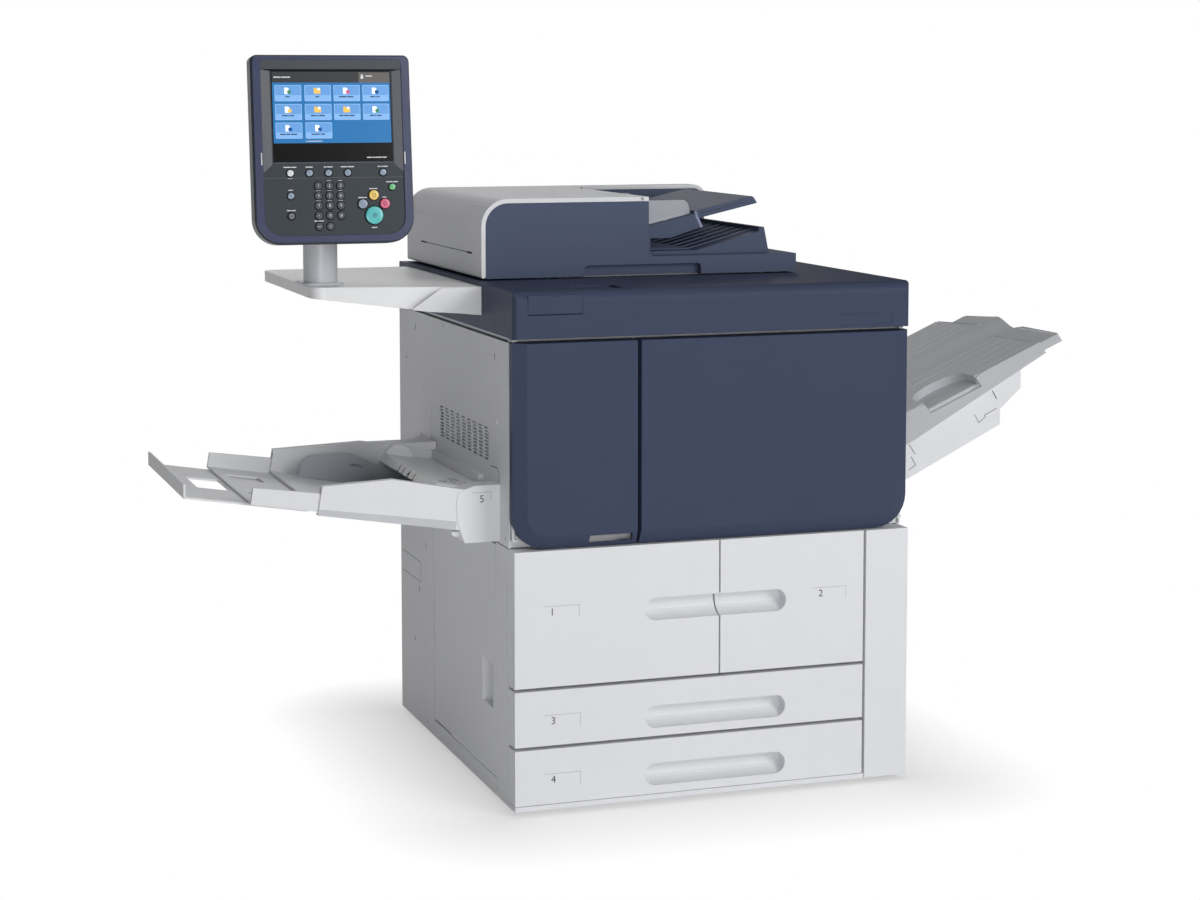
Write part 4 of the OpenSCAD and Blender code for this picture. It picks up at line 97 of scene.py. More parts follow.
def noise(tree, scale, detail=3, rough=0.5):
    """Noise from 0 to 1, with about as many grains to the metre as scale says."""
    node = tree.nodes.new("ShaderNodeTexNoise")
    node.inputs["Scale"].default_value = 1
    node.inputs["Detail"].default_value = detail
    node.inputs["Roughness"].default_value = rough
    tree.links.new(coordinates(tree, scale), node.inputs["Vector"])
    return node.outputs["Fac"]


def ramp(tree, source, low, high, start=0.0, end=1.0):
    """The source, mapped from start and end to low and high."""
    node = tree.nodes.new("ShaderNodeMapRange")
    node.inputs["From Min"].default_value = start
    node.inputs["From Max"].default_value = end
    node.inputs["To Min"].default_value = low
    node.inputs["To Max"].default_value = high
    tree.links.new(source, node.inputs["Value"])
    return node.outputs["Result"]


def tint(tree, factor, dark, light):
    """Linear colour between dark and light, by factor."""
    node = tree.nodes.new("ShaderNodeMix")
    node.data_type = "RGBA"
    node.inputs["A"].default_value = (*dark, 1)
    node.inputs["B"].default_value = (*light, 1)
    tree.links.new(factor, node.inputs["Factor"])
    return node.outputs["Result"]


def bump(tree, shader, height, strength, depth):
    """Fine relief of a depth in metres, on the shader's normal."""
    node = tree.nodes.new("ShaderNodeBump")
    node.inputs["Strength"].default_value = strength
    node.inputs["Distance"].default_value = depth
    tree.links.new(height, node.inputs["Height"])
    tree.links.new(node.outputs["Normal"], shader.inputs["Normal"])
    return node


def shaded(color, share):
    return tuple(min(1, c * share) for c in color)


def linear(rgb):
    """The linear value of a colour that is given as 0 to 255 on screen."""
    return tuple((c / 255 / 12.92) if c / 255 <= 0.04045 else ((c / 255 + 0.055) / 1.055) ** 2.4 for c in rgb)


def plastic(name, rgb, rough, grain=0.9, relief=0.12, spread=0.04, edge=0.0008, coat=0.0, specular=0.5):
    """Moulded plastic: fine spark-eroded grain, slow drift of colour and sheen, slightly rounded edges."""
    material, tree, shader = new_material(name)
    base = linear(rgb)
    drift = tint(tree, noise(tree, 9, 4), shaded(base, 1 - spread), shaded(base, 1 + spread))
    tree.links.new(drift, shader.inputs["Base Color"])
    tree.links.new(ramp(tree, noise(tree, 60, 3), rough - 0.04, rough + 0.05), shader.inputs["Roughness"])
    shader.inputs["Specular IOR Level"].default_value = specular
    if coat:
        shader.inputs["Coat Weight"].default_value = coat
        shader.inputs["Coat Roughness"].default_value = 0.08
    grained = bump(tree, shader, noise(tree, 1000 / grain, 2), relief, 0.0002)
    if edge:
        round_edge = tree.nodes.new("ShaderNodeBevel")
        round_edge.samples = 4
        round_edge.inputs["Radius"].default_value = edge
        tree.links.new(round_edge.outputs["Normal"], grained.inputs["Normal"])
    return material


def metal(name, rgb, rough, scale=160):
    """Metal with an even grain, or brushed along the axis on which a scale of three values is low."""
    material, tree, shader = new_material(name)
    base = linear(rgb)
    marks = noise(tree, scale, 4, 0.6)
    tree.links.new(tint(tree, marks, shaded(base, 0.9), base), shader.inputs["Base Color"])
    tree.links.new(ramp(tree, marks, rough - 0.08, rough + 0.1), shader.inputs["Roughness"])
    shader.inputs["Metallic"].default_value = 1
    bump(tree, shader, marks, 0.08, 0.0001)
    return material


def rubber(name, rgb):
    """Dull rubber with a fine grain and a little dust."""
    material, tree, shader = new_material(name)
    base = linear(rgb)
    dust = noise(tree, 140, 5, 0.7)
    tree.links.new(tint(tree, dust, shaded(base, 0.8), shaded(base, 1.35)), shader.inputs["Base Color"])
    tree.links.new(ramp(tree, dust, 0.65, 0.85), shader.inputs["Roughness"])
    bump(tree, shader, noise(tree, 1400, 2), 0.25, 0.0003)
    return material


def glass(name, rgb):
    material, tree, shader = new_material(name)
    shader.inputs["Base Color"].default_value = (*linear(rgb), 1)
    shader.inputs["Transmission Weight"].default_value = 0.9
    shader.inputs["IOR"].default_value = 1.5
    tree.links.new(ramp(tree, noise(tree, 30, 3), 0.02, 0.06), shader.inputs["Roughness"])
    return material


def lit(name, rgb, strength):
    """A lit part of the screen: it glows in its own colour under a glossy front."""
    material, tree, shader = new_material(name)
    base = linear(rgb)
    glow = tint(tree, noise(tree, 1500, 1), shaded(base, 0.94), base)
    tree.links.new(glow, shader.inputs["Base Color"])
    tree.links.new(glow, shader.inputs["Emission Color"])
    shader.inputs["Emission Strength"].default_value = strength
    shader.inputs["Roughness"].default_value = 0.18
    return material


WHITE = plastic("white_cover", (226, 227, 230), rough=0.5, relief=0.1, spread=0.015)
NAVY = plastic("navy_cover", (62, 70, 93), rough=0.48, grain=0.8, relief=0.22, spread=0.03, specular=0.12)
# Lighter copies of the navy and the white: painted light for the feeder, the console shelf and the feed head
NAVY_LIT_COPY = plastic("navy_lit_copy", (81, 90, 113), rough=0.5, grain=0.8, relief=0.2, spread=0.03, specular=0.1)
WHITE_LIT_COPY = plastic("white_lit_copy", (244, 245, 246), rough=0.42, relief=0.06, spread=0.01)
STEEL = metal("frame_steel", (168, 172, 178), 0.42)
ZINC = metal("zinc", (190, 192, 195), 0.35)
SHEET = metal("sheet_steel", (182, 185, 188), 0.32, (900, 20, 900))
TREAD = rubber("caster_tread", (44, 44, 48))
ROLLER = rubber("roller_rubber", (58, 60, 66))
BIN = plastic("bin_grey", (176, 179, 184), rough=0.5)
DARK = plastic("dark_plastic", (38, 39, 44), rough=0.5)
TONER = plastic("toner_black", (36, 37, 42), rough=0.38)
TRANSPORT = plastic("transport_grey", (132, 137, 145), rough=0.5)
LEVER = plastic("lever_green", (38, 118, 78), rough=0.4)
GLASS = glass("clear_glass", (225, 240, 236))
PAD = plastic("pad_white", (236, 236, 234), rough=0.6, relief=0.05)
SILVER = plastic("post_silver", (204, 207, 212), rough=0.35, relief=0.06)
CONSOLE = plastic("console_dark", (40, 49, 58), rough=0.4, specular=0.35)
SCREEN = lit("screen_glass", (18, 22, 30), 0.1)
GUIDE = plastic("guide_grey", (165, 169, 176), rough=0.45)
CATCH = plastic("catch_grey", (190, 192, 196), rough=0.5, relief=0.16)

BY_SLOT = {
    "white_cover": WHITE, "navy_cover": NAVY, "steel_frame": STEEL, "caster_tread": TREAD,
    "foot_steel": ZINC, "bin_grey": BIN, "lift_steel": SHEET, "dark_plastic": DARK, "toner_black": TONER,
    "transport_grey": TRANSPORT, "lever_green": LEVER, "clear_glass": GLASS, "roller_rubber": ROLLER,
    "pad_white": PAD, "post_silver": SILVER, "console_dark": CONSOLE, "screen": SCREEN,
    "guide_grey": GUIDE, "catch_grey": CATCH,
    "key_teal": plastic("key_teal", (92, 196, 196), rough=0.25, coat=0.4),
    "key_pink": plastic("key_pink", (226, 108, 140), rough=0.25, coat=0.4),
    "key_yellow": plastic("key_yellow", (246, 212, 112), rough=0.25, coat=0.4),
    "key_green": plastic("key_green", (118, 196, 136), rough=0.25, coat=0.4),
    "key_grey": plastic("key_grey", (60, 66, 76), rough=0.4),
}

# Nodes that take a lighter copy of their slot's finish: painted light on the feeder's navy and on the console
# shelf and feed head's white
BY_NODE = {"feeder_base": NAVY_LIT_COPY, "feeder_tray": NAVY_LIT_COPY, "console_shelf": WHITE_LIT_COPY, "bypass_feed_head": WHITE_LIT_COPY}


def dress_nodes():
    for part in frame["record"]["subparts"]:
        node = NODES[part["node"]]
        node.data.materials.clear()
        node.data.materials.append(BY_NODE.get(part["node"], BY_SLOT[part["material_slot"]]))


dress_nodes()


# Detail pieces: each is drawn on a plane, with a and b along it and c out of it. The functions below give
# the places that turn a, b and c into x, y and z, all in millimetres.

def front_of(y):
    return lambda a, b, c: (a, y - c, b)


def left_of(x):
    return lambda a, b, c: (x - c, a, b)


def right_of(x):
    return lambda a, b, c: (x + c, a, b)


def back_of(y):
    return lambda a, b, c: (a, y + c, b)


def above(z):
    return lambda a, b, c: (a, b, z + c)


def turned(origin, u, v, w):
    """Place in a tilted frame, given by its origin and its three directions."""
    origin, u, v, w = (Vector(item) for item in (origin, u, v, w))
    return lambda a, b, c: origin + u * a + v * b + w * c


def tilted(origin, degrees, side=1):
    """A tray's front side: a up its slope, to the left where side is -1, b square to it, c to the front."""
    s, t = math.sin(math.radians(degrees)), math.cos(math.radians(degrees))
    return turned(origin, (side * t, 0, s), (-side * s, 0, t), (0, -1, 0))


def sloped(origin, degrees):
    """A tray's upper face that rises to the right: a up its slope, b to the back, c out of the face."""
    s, t = math.sin(math.radians(degrees)), math.cos(math.radians(degrees))
    return turned(origin, (t, 0, s), (0, 1, 0), (-s, 0, t))


def arc(x, y, r, start, end, steps):
    """Points on a circle, between two angles in degrees that count from the right."""
    angles = [math.radians(start + (end - start) * i / steps) for i in range(steps + 1)]
    return [(x + r * math.cos(angle), y + r * math.sin(angle)) for angle in angles]


def oval(x, y, rx, ry, steps):
    angles = [2 * math.pi * i / steps for i in range(steps)]
    return [(x + rx * math.cos(angle), y + ry * math.sin(angle)) for angle in angles]


def circle(x, y, r, steps=32):
    return oval(x, y, r, r, steps)


def rounded(x0, y0, x1, y1, r=0.0, steps=5):
    """Rectangle with rounded corners, from the lower left one; r is one radius or four."""
    radii = r if isinstance(r, (list, tuple)) else (r,) * 4
    corners = ((x0, y0, 1, 1, 180), (x1, y0, -1, 1, 270), (x1, y1, -1, -1, 0), (x0, y1, 1, -1, 90))
    points = []
    for (x, y, sx, sy, start), q in zip(corners, radii):
        points += arc(x + sx * q, y + sy * q, q, start, start + 90, steps) if q > 0 else [(x, y)]
    return points


# A sharp corner of an outline is moved no further than this share allows
LEAST_SHARE = 0.3


def inset(points, d):
    """The closed outline moved inwards by d, corner by corner."""
    area = sum(p[0] * q[1] - q[0] * p[1] for p, q in zip(points, points[1:] + points[:1]))
    turn = 1 if area > 0 else -1
    moved = []
    for i, p in enumerate(points):
        before, after = Vector(points[i - 1]), Vector(points[(i + 1) % len(points)])
        here = Vector(p)
        e0, e1 = (here - before).normalized(), (after - here).normalized()
        n0, n1 = Vector((-e0.y, e0.x)) * turn, Vector((-e1.y, e1.x)) * turn
        share = max(LEAST_SHARE, 1 + n0.dot(n1))
        moved.append(tuple(here + (n0 + n1) * (d / share)))
    return moved


def strip(points, width):
    """Outline of a line of the given width through the points."""
    left, right = [], []
    count = len(points)
    for i, p in enumerate(points):
        here = Vector(p)
        before = Vector(points[i - 1]) if i else here
        after = Vector(points[i + 1]) if i < count - 1 else here
        e0 = (here - before).normalized() if i else (after - here).normalized()
        e1 = (after - here).normalized() if i < count - 1 else e0
        n0, n1 = Vector((-e0.y, e0.x)), Vector((-e1.y, e1.x))
        offset = (n0 + n1) * (width / 2 / max(LEAST_SHARE, 1 + n0.dot(n1)))
        left.append(tuple(here + offset))
        right.append(tuple(here - offset))
    return left + right[::-1]


class Piece:
    """Closed skins in a frame in millimetres, which become one object that rides on a body."""

    TEXT_SIZE = 1.37  # size of the font for digits of height 1
    BEVELLED, CREASED = 0.5, 0.6  # least angles in radians of edges that are bevelled or drawn sharp

    def __init__(self, name, body, material, slot, place):
        self.name, self.body, self.material, self.slot, self.place = name, body, material, slot, place
        self.mesh = bmesh.new()

    def loft(self, rings, loop=False):
        """Skin through rings of equally many points: capped, or closed on itself as a loop."""
        rows = [[self.mesh.verts.new(Vector(self.place(*p)) * MM) for p in ring] for ring in rings]
        for low, high in zip(rows, rows[1:] + (rows[:1] if loop else [])):
            for i in range(len(low)):
                j = (i + 1) % len(low)
                self.mesh.faces.new((low[i], low[j], high[j], high[i]))
        if not loop:
            self.mesh.faces.new(rows[0][::-1])
            self.mesh.faces.new(rows[-1])
        return self

    def slab(self, outline, low, high, lean=0.0):
        """Plate from low to high, whose upper edges lean inwards."""
        rings = [[(*p, low) for p in outline]]
        if lean:
            rings.append([(*p, high - lean) for p in outline])
            outline = inset(outline, lean)
        return self.loft(rings + [[(*p, high) for p in outline]])

    def band(self, outer, inner, low, high, lean=0.0):
        """Frame between two outlines."""
        rings = [[(*p, low) for p in outer], [(*p, high - lean) for p in outer]]
        if lean:
            rings += [[(*p, high) for p in inset(outer, lean)], [(*p, high) for p in inset(inner, -lean)]]
        rings += [[(*p, high - lean) for p in inner], [(*p, low) for p in inner]]
        return self.loft(rings, loop=True)

    def ring(self, x, y, r, width, low, high, lean=0.0, steps=32):
        return self.band(circle(x, y, r, steps), circle(x, y, r - width, steps), low, high, lean)

    def disc(self, x, y, r, low, high, lean=0.0, steps=32):
        return self.slab(circle(x, y, r, steps), low, high, lean)

    def dome(self, x, y, r, low, high, steps=28):
        """Disc with a softly crowned top."""
        rise = high - low
        rings = [[(*p, low) for p in circle(x, y, r, steps)]]
        for share, height in ((1, 0.45), (0.96, 0.7), (0.86, 0.86), (0.6, 0.96), (0.3, 1.0)):
            rings.append([(*p, low + rise * height) for p in circle(x, y, r * share, steps)])
        return self.loft(rings)

    def line(self, points, width, low, high, lean=0.0):
        return self.slab(strip(points, width), low, high, lean)

    def dashes(self, x, y, lengths, height, low, high, space=1.0):
        """A row of short bars about x, where the real thing has words."""
        at = x - (sum(lengths) + space * (len(lengths) - 1)) / 2
        for length in lengths:
            self.slab(rounded(at, y, at + length, y + height, height * 0.3, 2), low, high)
            at += length + space
        return self

    def digits(self, text, x, y, height, low, high):
        """Plain numbers, as raised print."""
        curve = bpy.data.curves.new("digits", "FONT")
        curve.body, curve.align_x, curve.align_y = text, "CENTER", "CENTER"
        curve.size, curve.extrude, curve.resolution_u = height * self.TEXT_SIZE, 0.5, 3
        holder = bpy.data.objects.new("digits", curve)
        shape = holder.to_mesh()
        spots = []
        for co in (vertex.co for vertex in shape.vertices):
            spot = self.place(x + co.x, y + co.y, high if co.z > 0 else low)
            spots.append(self.mesh.verts.new(Vector(spot) * MM))
        for face in shape.polygons:
            self.mesh.faces.new([spots[i] for i in face.vertices])
        holder.to_mesh_clear()
        bpy.data.objects.remove(holder)
        bpy.data.curves.remove(curve)
        bmesh.ops.remove_doubles(self.mesh, verts=spots, dist=0.00001)
        return self

    def done(self, bevel=0.0):
        bmesh.ops.recalc_face_normals(self.mesh, faces=self.mesh.faces)
        if bevel:
            edges = [edge for edge in self.mesh.edges if edge.calc_face_angle(0) > self.BEVELLED]
            bmesh.ops.bevel(self.mesh, geom=edges, offset=bevel * MM, segments=2, profile=0.5, affect="EDGES")
        for face in self.mesh.faces:
            face.smooth = True
        for edge in self.mesh.edges:
            edge.smooth = edge.calc_face_angle(0) < self.CREASED
        data = bpy.data.meshes.new(self.name)
        self.mesh.to_mesh(data)
        self.mesh.free()
        data.materials.append(self.material)
        piece = bpy.data.objects.new(self.name, data)
        bpy.context.collection.objects.link(piece)
        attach(piece, self.body)
        return piece


# Finishes of the small pieces
MARK = plastic("mark_dark", (48, 50, 56), rough=0.55, edge=0)
BLACK = plastic("gap_black", (14, 15, 18), rough=0.7, edge=0, specular=0.2)
OUTLINE = plastic("outline_grey", (176, 178, 183), rough=0.55, edge=0)
SHADE = plastic("shade_grey", (150, 153, 158), rough=0.55, edge=0)
RIM = plastic("rim_indigo", (66, 72, 102), rough=0.22, relief=0.03, coat=0.7)
FACE = plastic("face_grey", (50, 58, 66), rough=0.42, relief=0.1, edge=0)
CHEEK = plastic("cheek_grey", (84, 87, 94), rough=0.4, edge=0)
PRINT = plastic("print_light", (222, 225, 229), rough=0.5, relief=0.02, edge=0)
# White of the key caps, also used for painted highlights: the console's corner bars, the side glints and the
# extension's edges
WHITE_CAP_AND_HIGHLIGHT = plastic("cap_white", (226, 228, 230), rough=0.25, coat=0.5, relief=0.02, edge=0)
CAP_BLUE = plastic("cap_blue", (140, 156, 176), rough=0.28, coat=0.4, relief=0.02, edge=0)
PALE_BLUE = plastic("pale_blue", (132, 138, 172), rough=0.35, edge=0)
NAVY_DARK = plastic("navy_shade", (34, 39, 54), rough=0.5, edge=0)
LIGHT_LINE = plastic("light_line", (196, 198, 202), rough=0.5, edge=0)
# A darker white: painted shade on the inner part of the shelf's front
FACET_SHADE = plastic("shelf_facet_shade", (228, 229, 231), rough=0.45, relief=0.05, edge=0)
UI = {name: lit("ui_" + name, rgb, glow) for name, rgb, glow in (
    ("bar", (62, 64, 67), 0.2), ("tab", (100, 97, 93), 0.28), ("field", (44, 116, 176), 0.3),
    ("strip", (5, 5, 7), 0.02), ("edge", (150, 192, 236), 0.36), ("tile", (104, 158, 218), 0.32),
    ("tile_low", (132, 180, 232), 0.34), ("ink", (22, 42, 78), 0.2), ("page", (238, 242, 246), 0.45),
    ("gold", (236, 190, 92), 0.4), ("rose", (206, 92, 134), 0.36), ("leaf", (70, 140, 104), 0.3),
    ("deep", (26, 84, 150), 0.3), ("text", (200, 204, 208), 0.4))}


# Control console: rim, brow, screen content, captions and key tops

CONSOLE_FRAME = turned((-571, -180, 1000), (1, 0, 0), (0, 0.10453, 0.99452), (0, -0.99452, 0.10453))
# Levels out of the housing's front: its sunk face, the tops of keys and buttons, and what lies on the face
FACE_W, KEY_W, BUTTON_W = -1.5, 1.0, 3.0
FOOT_W, CAPTION_W, RING_W = -1.6, -1.35, -1.2
KEY_PRINT, SIGN = (KEY_W - 0.05, KEY_W + 0.15), (BUTTON_W + 0.6, BUTTON_W + 1.0)
# Middles of keys and buttons: the row under the screen, the number pad, and the single ones
ROW_US, ROW_V = (-78.7, -44.6, -10.4, 24.1, 88), 124.7
PAD_US, PAD_VS = (-29.6, -9.7, 10.2), (102, 84.5, 67, 49.5)
DASH_KEY, LETTER_KEY = (-29.6, 30.6), (-9.7, 30.6)
LOW_KEY, HIGH_KEY, COPY_KEY = (-78.7, 49.5), (-78.7, 85), (49.7, 69)
START, STOP, CLEAR, POWER = (69.6, 48.6), (89.4, 69), (69.6, 84.5), (103.9, 98.5)


def console_piece(name, material, slot, body="console"):
    return Piece(name, body, material, slot, CONSOLE_FRAME)


def make_console():
    rim = console_piece("console_rim", RIM, "console_dark")
    rim.band(rounded(-140.6, 2.4, 140.6, 330.6, (43, 43, 10, 10), 8),
             rounded(-126, 15, 126, 324, (31, 31, 6, 6), 8), SUNK, 1.1, 0.8).done()
    brow = console_piece("console_brow", FACE, "console_dark")
    brow.slab(rounded(-126.2, 307.2, 126.2, 324.2, (1, 1, 6, 6)), SUNK, 0.8, 0.3).done()
    shade = console_piece("console_brow_shade", BLACK, "dark_plastic")
    shade.slab(rounded(-119, 304.4, 119, 308.9), FOOT_W, -1.38).done()
    for side, name in ((-1, "left"), (1, "right")):
        cheek = console_piece("console_cheek_" + name, CHEEK, "console_dark")
        inner, outer = side * 108, side * 125.9
        cheek.loft([[(inner, 141, FOOT_W), (outer, 126, FOOT_W), (outer, 126, -0.5)],
                    [(inner, 304, FOOT_W), (outer, 307, FOOT_W), (outer, 307, -0.5)]]).done()
        # White bars at the screen's lower corners: painted highlights on the edge between face and rim
        console_piece("console_highlight_" + name, WHITE_CAP_AND_HIGHLIGHT, "console_dark").slab(
            rounded(side * 128.6 - 1, 139, side * 128.6 + 1, 161, 0.9, 3), 0.8, 1.3, 0.2).done()
    # The ridges are low relief, and their lighter grey is also a painted highlight along the creases
    ridge = console_piece("console_ridge", CHEEK, "console_dark")
    ridge.line([(-125.6, 116.2), (125.6, 116.2)], 1.0, FOOT_W, -1.3, 0.2)
    ridge.line([(-107, 142.6), (107, 142.6)], 1.2, FOOT_W, -1.25, 0.2).done()


def make_face_print():
    rings = console_piece("key_rings", BLACK, "dark_plastic")
    for u in PAD_US:
        for v in PAD_VS:
            rings.ring(u, v, 8.1, 1.2, FOOT_W, RING_W, 0.1)
    singles = ((DASH_KEY, 8.1), (LETTER_KEY, 8.1), (LOW_KEY, 7.8), (HIGH_KEY, 7.6), (COPY_KEY, 10.3),
               (START, 17.4), (CLEAR, 10.3), (STOP, 10.3), (POWER, 7.3))
    for middle, r in singles + tuple(((u, ROW_V), 7.7) for u in ROW_US):
        rings.ring(*middle, r, 1.1, FOOT_W, RING_W, 0.1)
    rings.done()

    captions = console_piece("captions", PRINT, "guide_grey")
    for u, lengths in zip(ROW_US, ((12, 10), (13,), (5, 10), (12, 11), (5, 3, 8))):
        captions.dashes(u, 134.4, lengths, 1.7, FOOT_W, CAPTION_W)
    for u, v, lengths in ((-78.7, 94.2, (8,)), (-78.7, 58.6, (16,)), (-29.6, 39.6, (6, 10)),
                          (49.7, 79.6, (15,)), (69.6, 95.2, (9, 5)), (89.4, 79.8, (8,)),
                          (103.9, 107, (12, 9)), (69.6, 26.4, (10,)), (-78.7, 115, (2, 2, 2))):
        captions.dashes(u, v, lengths, 1.6, FOOT_W, CAPTION_W)
    for i, u in enumerate(PAD_US):
        for j, v in enumerate(PAD_VS[:3]):
            if i or j:
                captions.dashes(u, v + 8.5, (2.2, 2.2, 1.8), 1.1, FOOT_W, CAPTION_W, 0.5)
    captions.done()


def make_keys():
    numbers = console_piece("key_numbers", PRINT, "guide_grey", "keys")
    for row, v in zip(("123", "456", "789", "*0#"), PAD_VS):
        for u, digit in zip(PAD_US, row):
            numbers.digits(digit, u, v - (1.2 if digit == "*" else 0), 5.2, *KEY_PRINT)
    numbers.digits("C", *LETTER_KEY, 4.6, *KEY_PRINT)
    numbers.line([(-32.2, 30.6), (-27, 30.6)], 0.9, *KEY_PRINT)
    numbers.ring(*LOW_KEY, 3.2, 0.6, *KEY_PRINT).done()
    key_lips = console_piece("key_lips", CHEEK, "key_grey", "keys")
    for u in PAD_US:
        for v in PAD_VS:
            key_lips.ring(u, v, 6.1, 0.5, KEY_W - 0.1, KEY_W + 0.12)
    key_lips.done()
    cap = console_piece("key_cap_white", WHITE_CAP_AND_HIGHLIGHT, "key_grey", "keys")
    cap.dome(ROW_US[0], ROW_V, 5.7, KEY_W - 0.1, KEY_W + 0.9).done()
    caps = console_piece("key_caps_blue", CAP_BLUE, "key_grey", "keys")
    for u, v in [(u, ROW_V) for u in ROW_US[1:]] + [HIGH_KEY]:
        caps.dome(u, v, 5.6, KEY_W - 0.1, KEY_W + 0.8)
    caps.dome(*COPY_KEY, 8.0, KEY_W - 0.1, KEY_W + 1.0).done()


def make_buttons():
    for body, slot, middle, r in (("start", "key_teal", START, 15.0), ("stop", "key_pink", STOP, 8.0),
                                  ("clear", "key_yellow", CLEAR, 8.0), ("power", "key_green", POWER, 5.0)):
        crown = console_piece(body + "_crown", BY_SLOT[slot], slot, body)
        crown.dome(*middle, r, BUTTON_W - 0.1, BUTTON_W + 0.9).done()
    sign = console_piece("start_sign", NAVY_DARK, "dark_plastic", "start")
    sign.ring(*START, 4.0, 0.8, *SIGN)
    sign.slab([(69.6, 46.8), (71.4, 48.6), (69.6, 50.4), (67.8, 48.6)], *SIGN).done()
    sign = console_piece("stop_sign", MARK, "dark_plastic", "stop")
    sign.band(circle(*STOP, 3.6, 8), circle(*STOP, 2.9, 8), *SIGN).done()
    sign = console_piece("clear_sign", MARK, "dark_plastic", "clear")
    sign.band(rounded(66.8, 81.7, 72.4, 87.3, 1), rounded(67.4, 82.3, 71.8, 86.7, 0.6), *SIGN).done()


def make_screen():
    left, right, low, high = -105.8, 105.8, 145.8, 303.0
    bar, strip_top = 283.8, 177.4

    def layer(name, key, level):
        """Piece of the screen's content, with its foot and top; a higher level covers a lower one."""
        return Piece(name, "console", UI[key], "screen", CONSOLE_FRAME), FACE_W - 0.05, FACE_W + level

    def block(name, key, outline, level):
        piece, bottom, top = layer(name, key, level)
        piece.slab(outline, bottom, top).done()

    block("screen_strip", "strip", rounded(left - 1, low - 0.8, right + 1, high + 0.8), 0.06)
    block("screen_bar", "bar", rounded(left, bar, right, high), 0.12)
    block("screen_tab", "tab", rounded(49.5, bar, right, high - 1), 0.18)
    block("screen_field", "field", rounded(left, strip_top, right, bar), 0.12)
    # Ten tiles in three rows, each with an icon over a caption
    columns, rows, wide, tall = (-101.6, -48.6, 3.5, 55.7), (279.4, 246.3, 213.7), 47.4, 28.2
    spots = [(x, y) for y in rows for x in columns][:10]
    edges, bottom, top = layer("screen_tile_edges", "edge", 0.18)
    tiles = layer("screen_tiles", "tile", 0.24)[0]
    lows = layer("screen_tile_feet", "tile_low", 0.28)[0]
    ink = layer("screen_captions", "ink", 0.32)[0]
    pages = layer("screen_pages", "page", 0.32)[0]
    parts = {key: layer("screen_icons_" + key, key, 0.38)[0] for key in ("gold", "rose", "leaf", "deep")}
    words = ((9,), (8,), (16, 14), (9, 4, 5), (12, 4, 7), (11, 4, 12), (9, 10, 11), (9, 4, 10), (12, 8, 14),
             (18, 10))
    extras = ("leaf", "gold", "rose", "deep", "gold", "gold", "gold", "leaf", "deep", "deep")
    for (x, y), lengths, extra in zip(spots, words, extras):
        edges.slab(rounded(x, y - tall, x + wide, y, 1.6, 3), bottom, top)
        tiles.slab(rounded(x + 1, y - tall + 1, x + wide - 1, y - 1, 1.2, 3), bottom, top + 0.06)
        lows.slab(rounded(x + 1, y - tall + 1, x + wide - 1, y - tall * 0.62, 1.2, 3), bottom, top + 0.1)
        cx, cy = x + wide / 2 - 1, y - 10
        ink.dashes(cx, y - 21.5, [v * 0.85 for v in lengths], 1.9, bottom, top + 0.14)
        if extra in ("leaf", "rose", "deep") or lengths[0] == 12:
            pages.slab([(cx - 5.5, cy - 5.5), (cx + 3, cy - 5.5), (cx + 3, cy + 3), (cx + 0.5, cy + 5.5),
                        (cx - 5.5, cy + 5.5)], bottom, top + 0.14)
            parts[extra].disc(cx + 3, cy - 2, 3.6, bottom, top + 0.2, steps=20)
        else:
            parts[extra].slab([(cx - 6, cy - 5), (cx + 6, cy - 5), (cx + 6, cy + 3.6), (cx - 0.5, cy + 3.6),
                               (cx - 2, cy + 5.4), (cx - 6, cy + 5.4)], bottom, top + 0.2)
            pages.disc(cx + 3, cy + 3, 2.4, bottom, top + 0.24, steps=16)
    for piece in (edges, tiles, lows, ink, pages, *parts.values()):
        piece.done()
    text, bottom, top = layer("screen_text", "text", 0.3)
    text.dashes(-88, 292.4, (13, 16), 1.9, bottom, top)
    text.dashes(68, 294.6, (12,), 1.9, bottom, top)
    text.disc(55.6, 296.6, 2.0, bottom, top, steps=16)
    text.slab(rounded(53, 290.6, 58.2, 294.8, 1.4, 3), bottom, top)
    text.dashes(78, 150.6, (9, 4, 12, 8), 1.7, bottom, top)
    text.dashes(-34, 180.2, (2.4, 26), 1.2, bottom, top).done()


# Numbers and outlines on the drawers and on the side tray

def make_numbers():
    front = front_of(DRAWER_FRONTS)
    for name, x, z in (("1", -242.9, 361.4), ("2", 268.5, 360.2), ("3", -241.1, 168.0), ("4", -241.1, 63.0)):
        body = "drawer_" + name
        number = Piece("number_" + name, body, MARK, "dark_plastic", front)
        number.digits(name, x, z, 13.5, SUNK, 0.12).done()
        outline = Piece("number_outline_" + name, body, OUTLINE, "white_cover", front)
        outline.line([(x - 16, z + 10.8), (x + 50, z + 10.8), (x + 50, z - 11.2)], 0.9, SUNK, 0.1).done()
    block = front_of(-309)
    number = Piece("number_5", "cabinet", MARK, "dark_plastic", block)
    number.digits("5", -344.7, 553, 13.5, SUNK, 0.15).done()
    outline = Piece("number_outline_5", "cabinet", OUTLINE, "white_cover", block)
    outline.line([(-362.7, 565.3), (-328, 565.3), (-328, 550.6)], 0.9, SUNK, 0.12).done()


# Left side of the cabinet: fasteners, seams, slots and marks

def screws(name, place, spots, r):
    """Cross-head screws: a low dome, with a dark cross in its top."""
    heads = Piece(name, "cabinet", ZINC, "foot_steel", place)
    crosses = Piece(name + "_crosses", "cabinet", BLACK, "dark_plastic", place)
    for a, b in spots:
        heads.dome(a, b, r, SUNK, 0.9, 20)
        reach = r * 0.42
        for turn in (1, -1):
            crosses.line([(a - reach, b - reach * turn), (a + reach, b + reach * turn)], r * 0.24, 0.3, 0.96)
    heads.done()
    crosses.done()


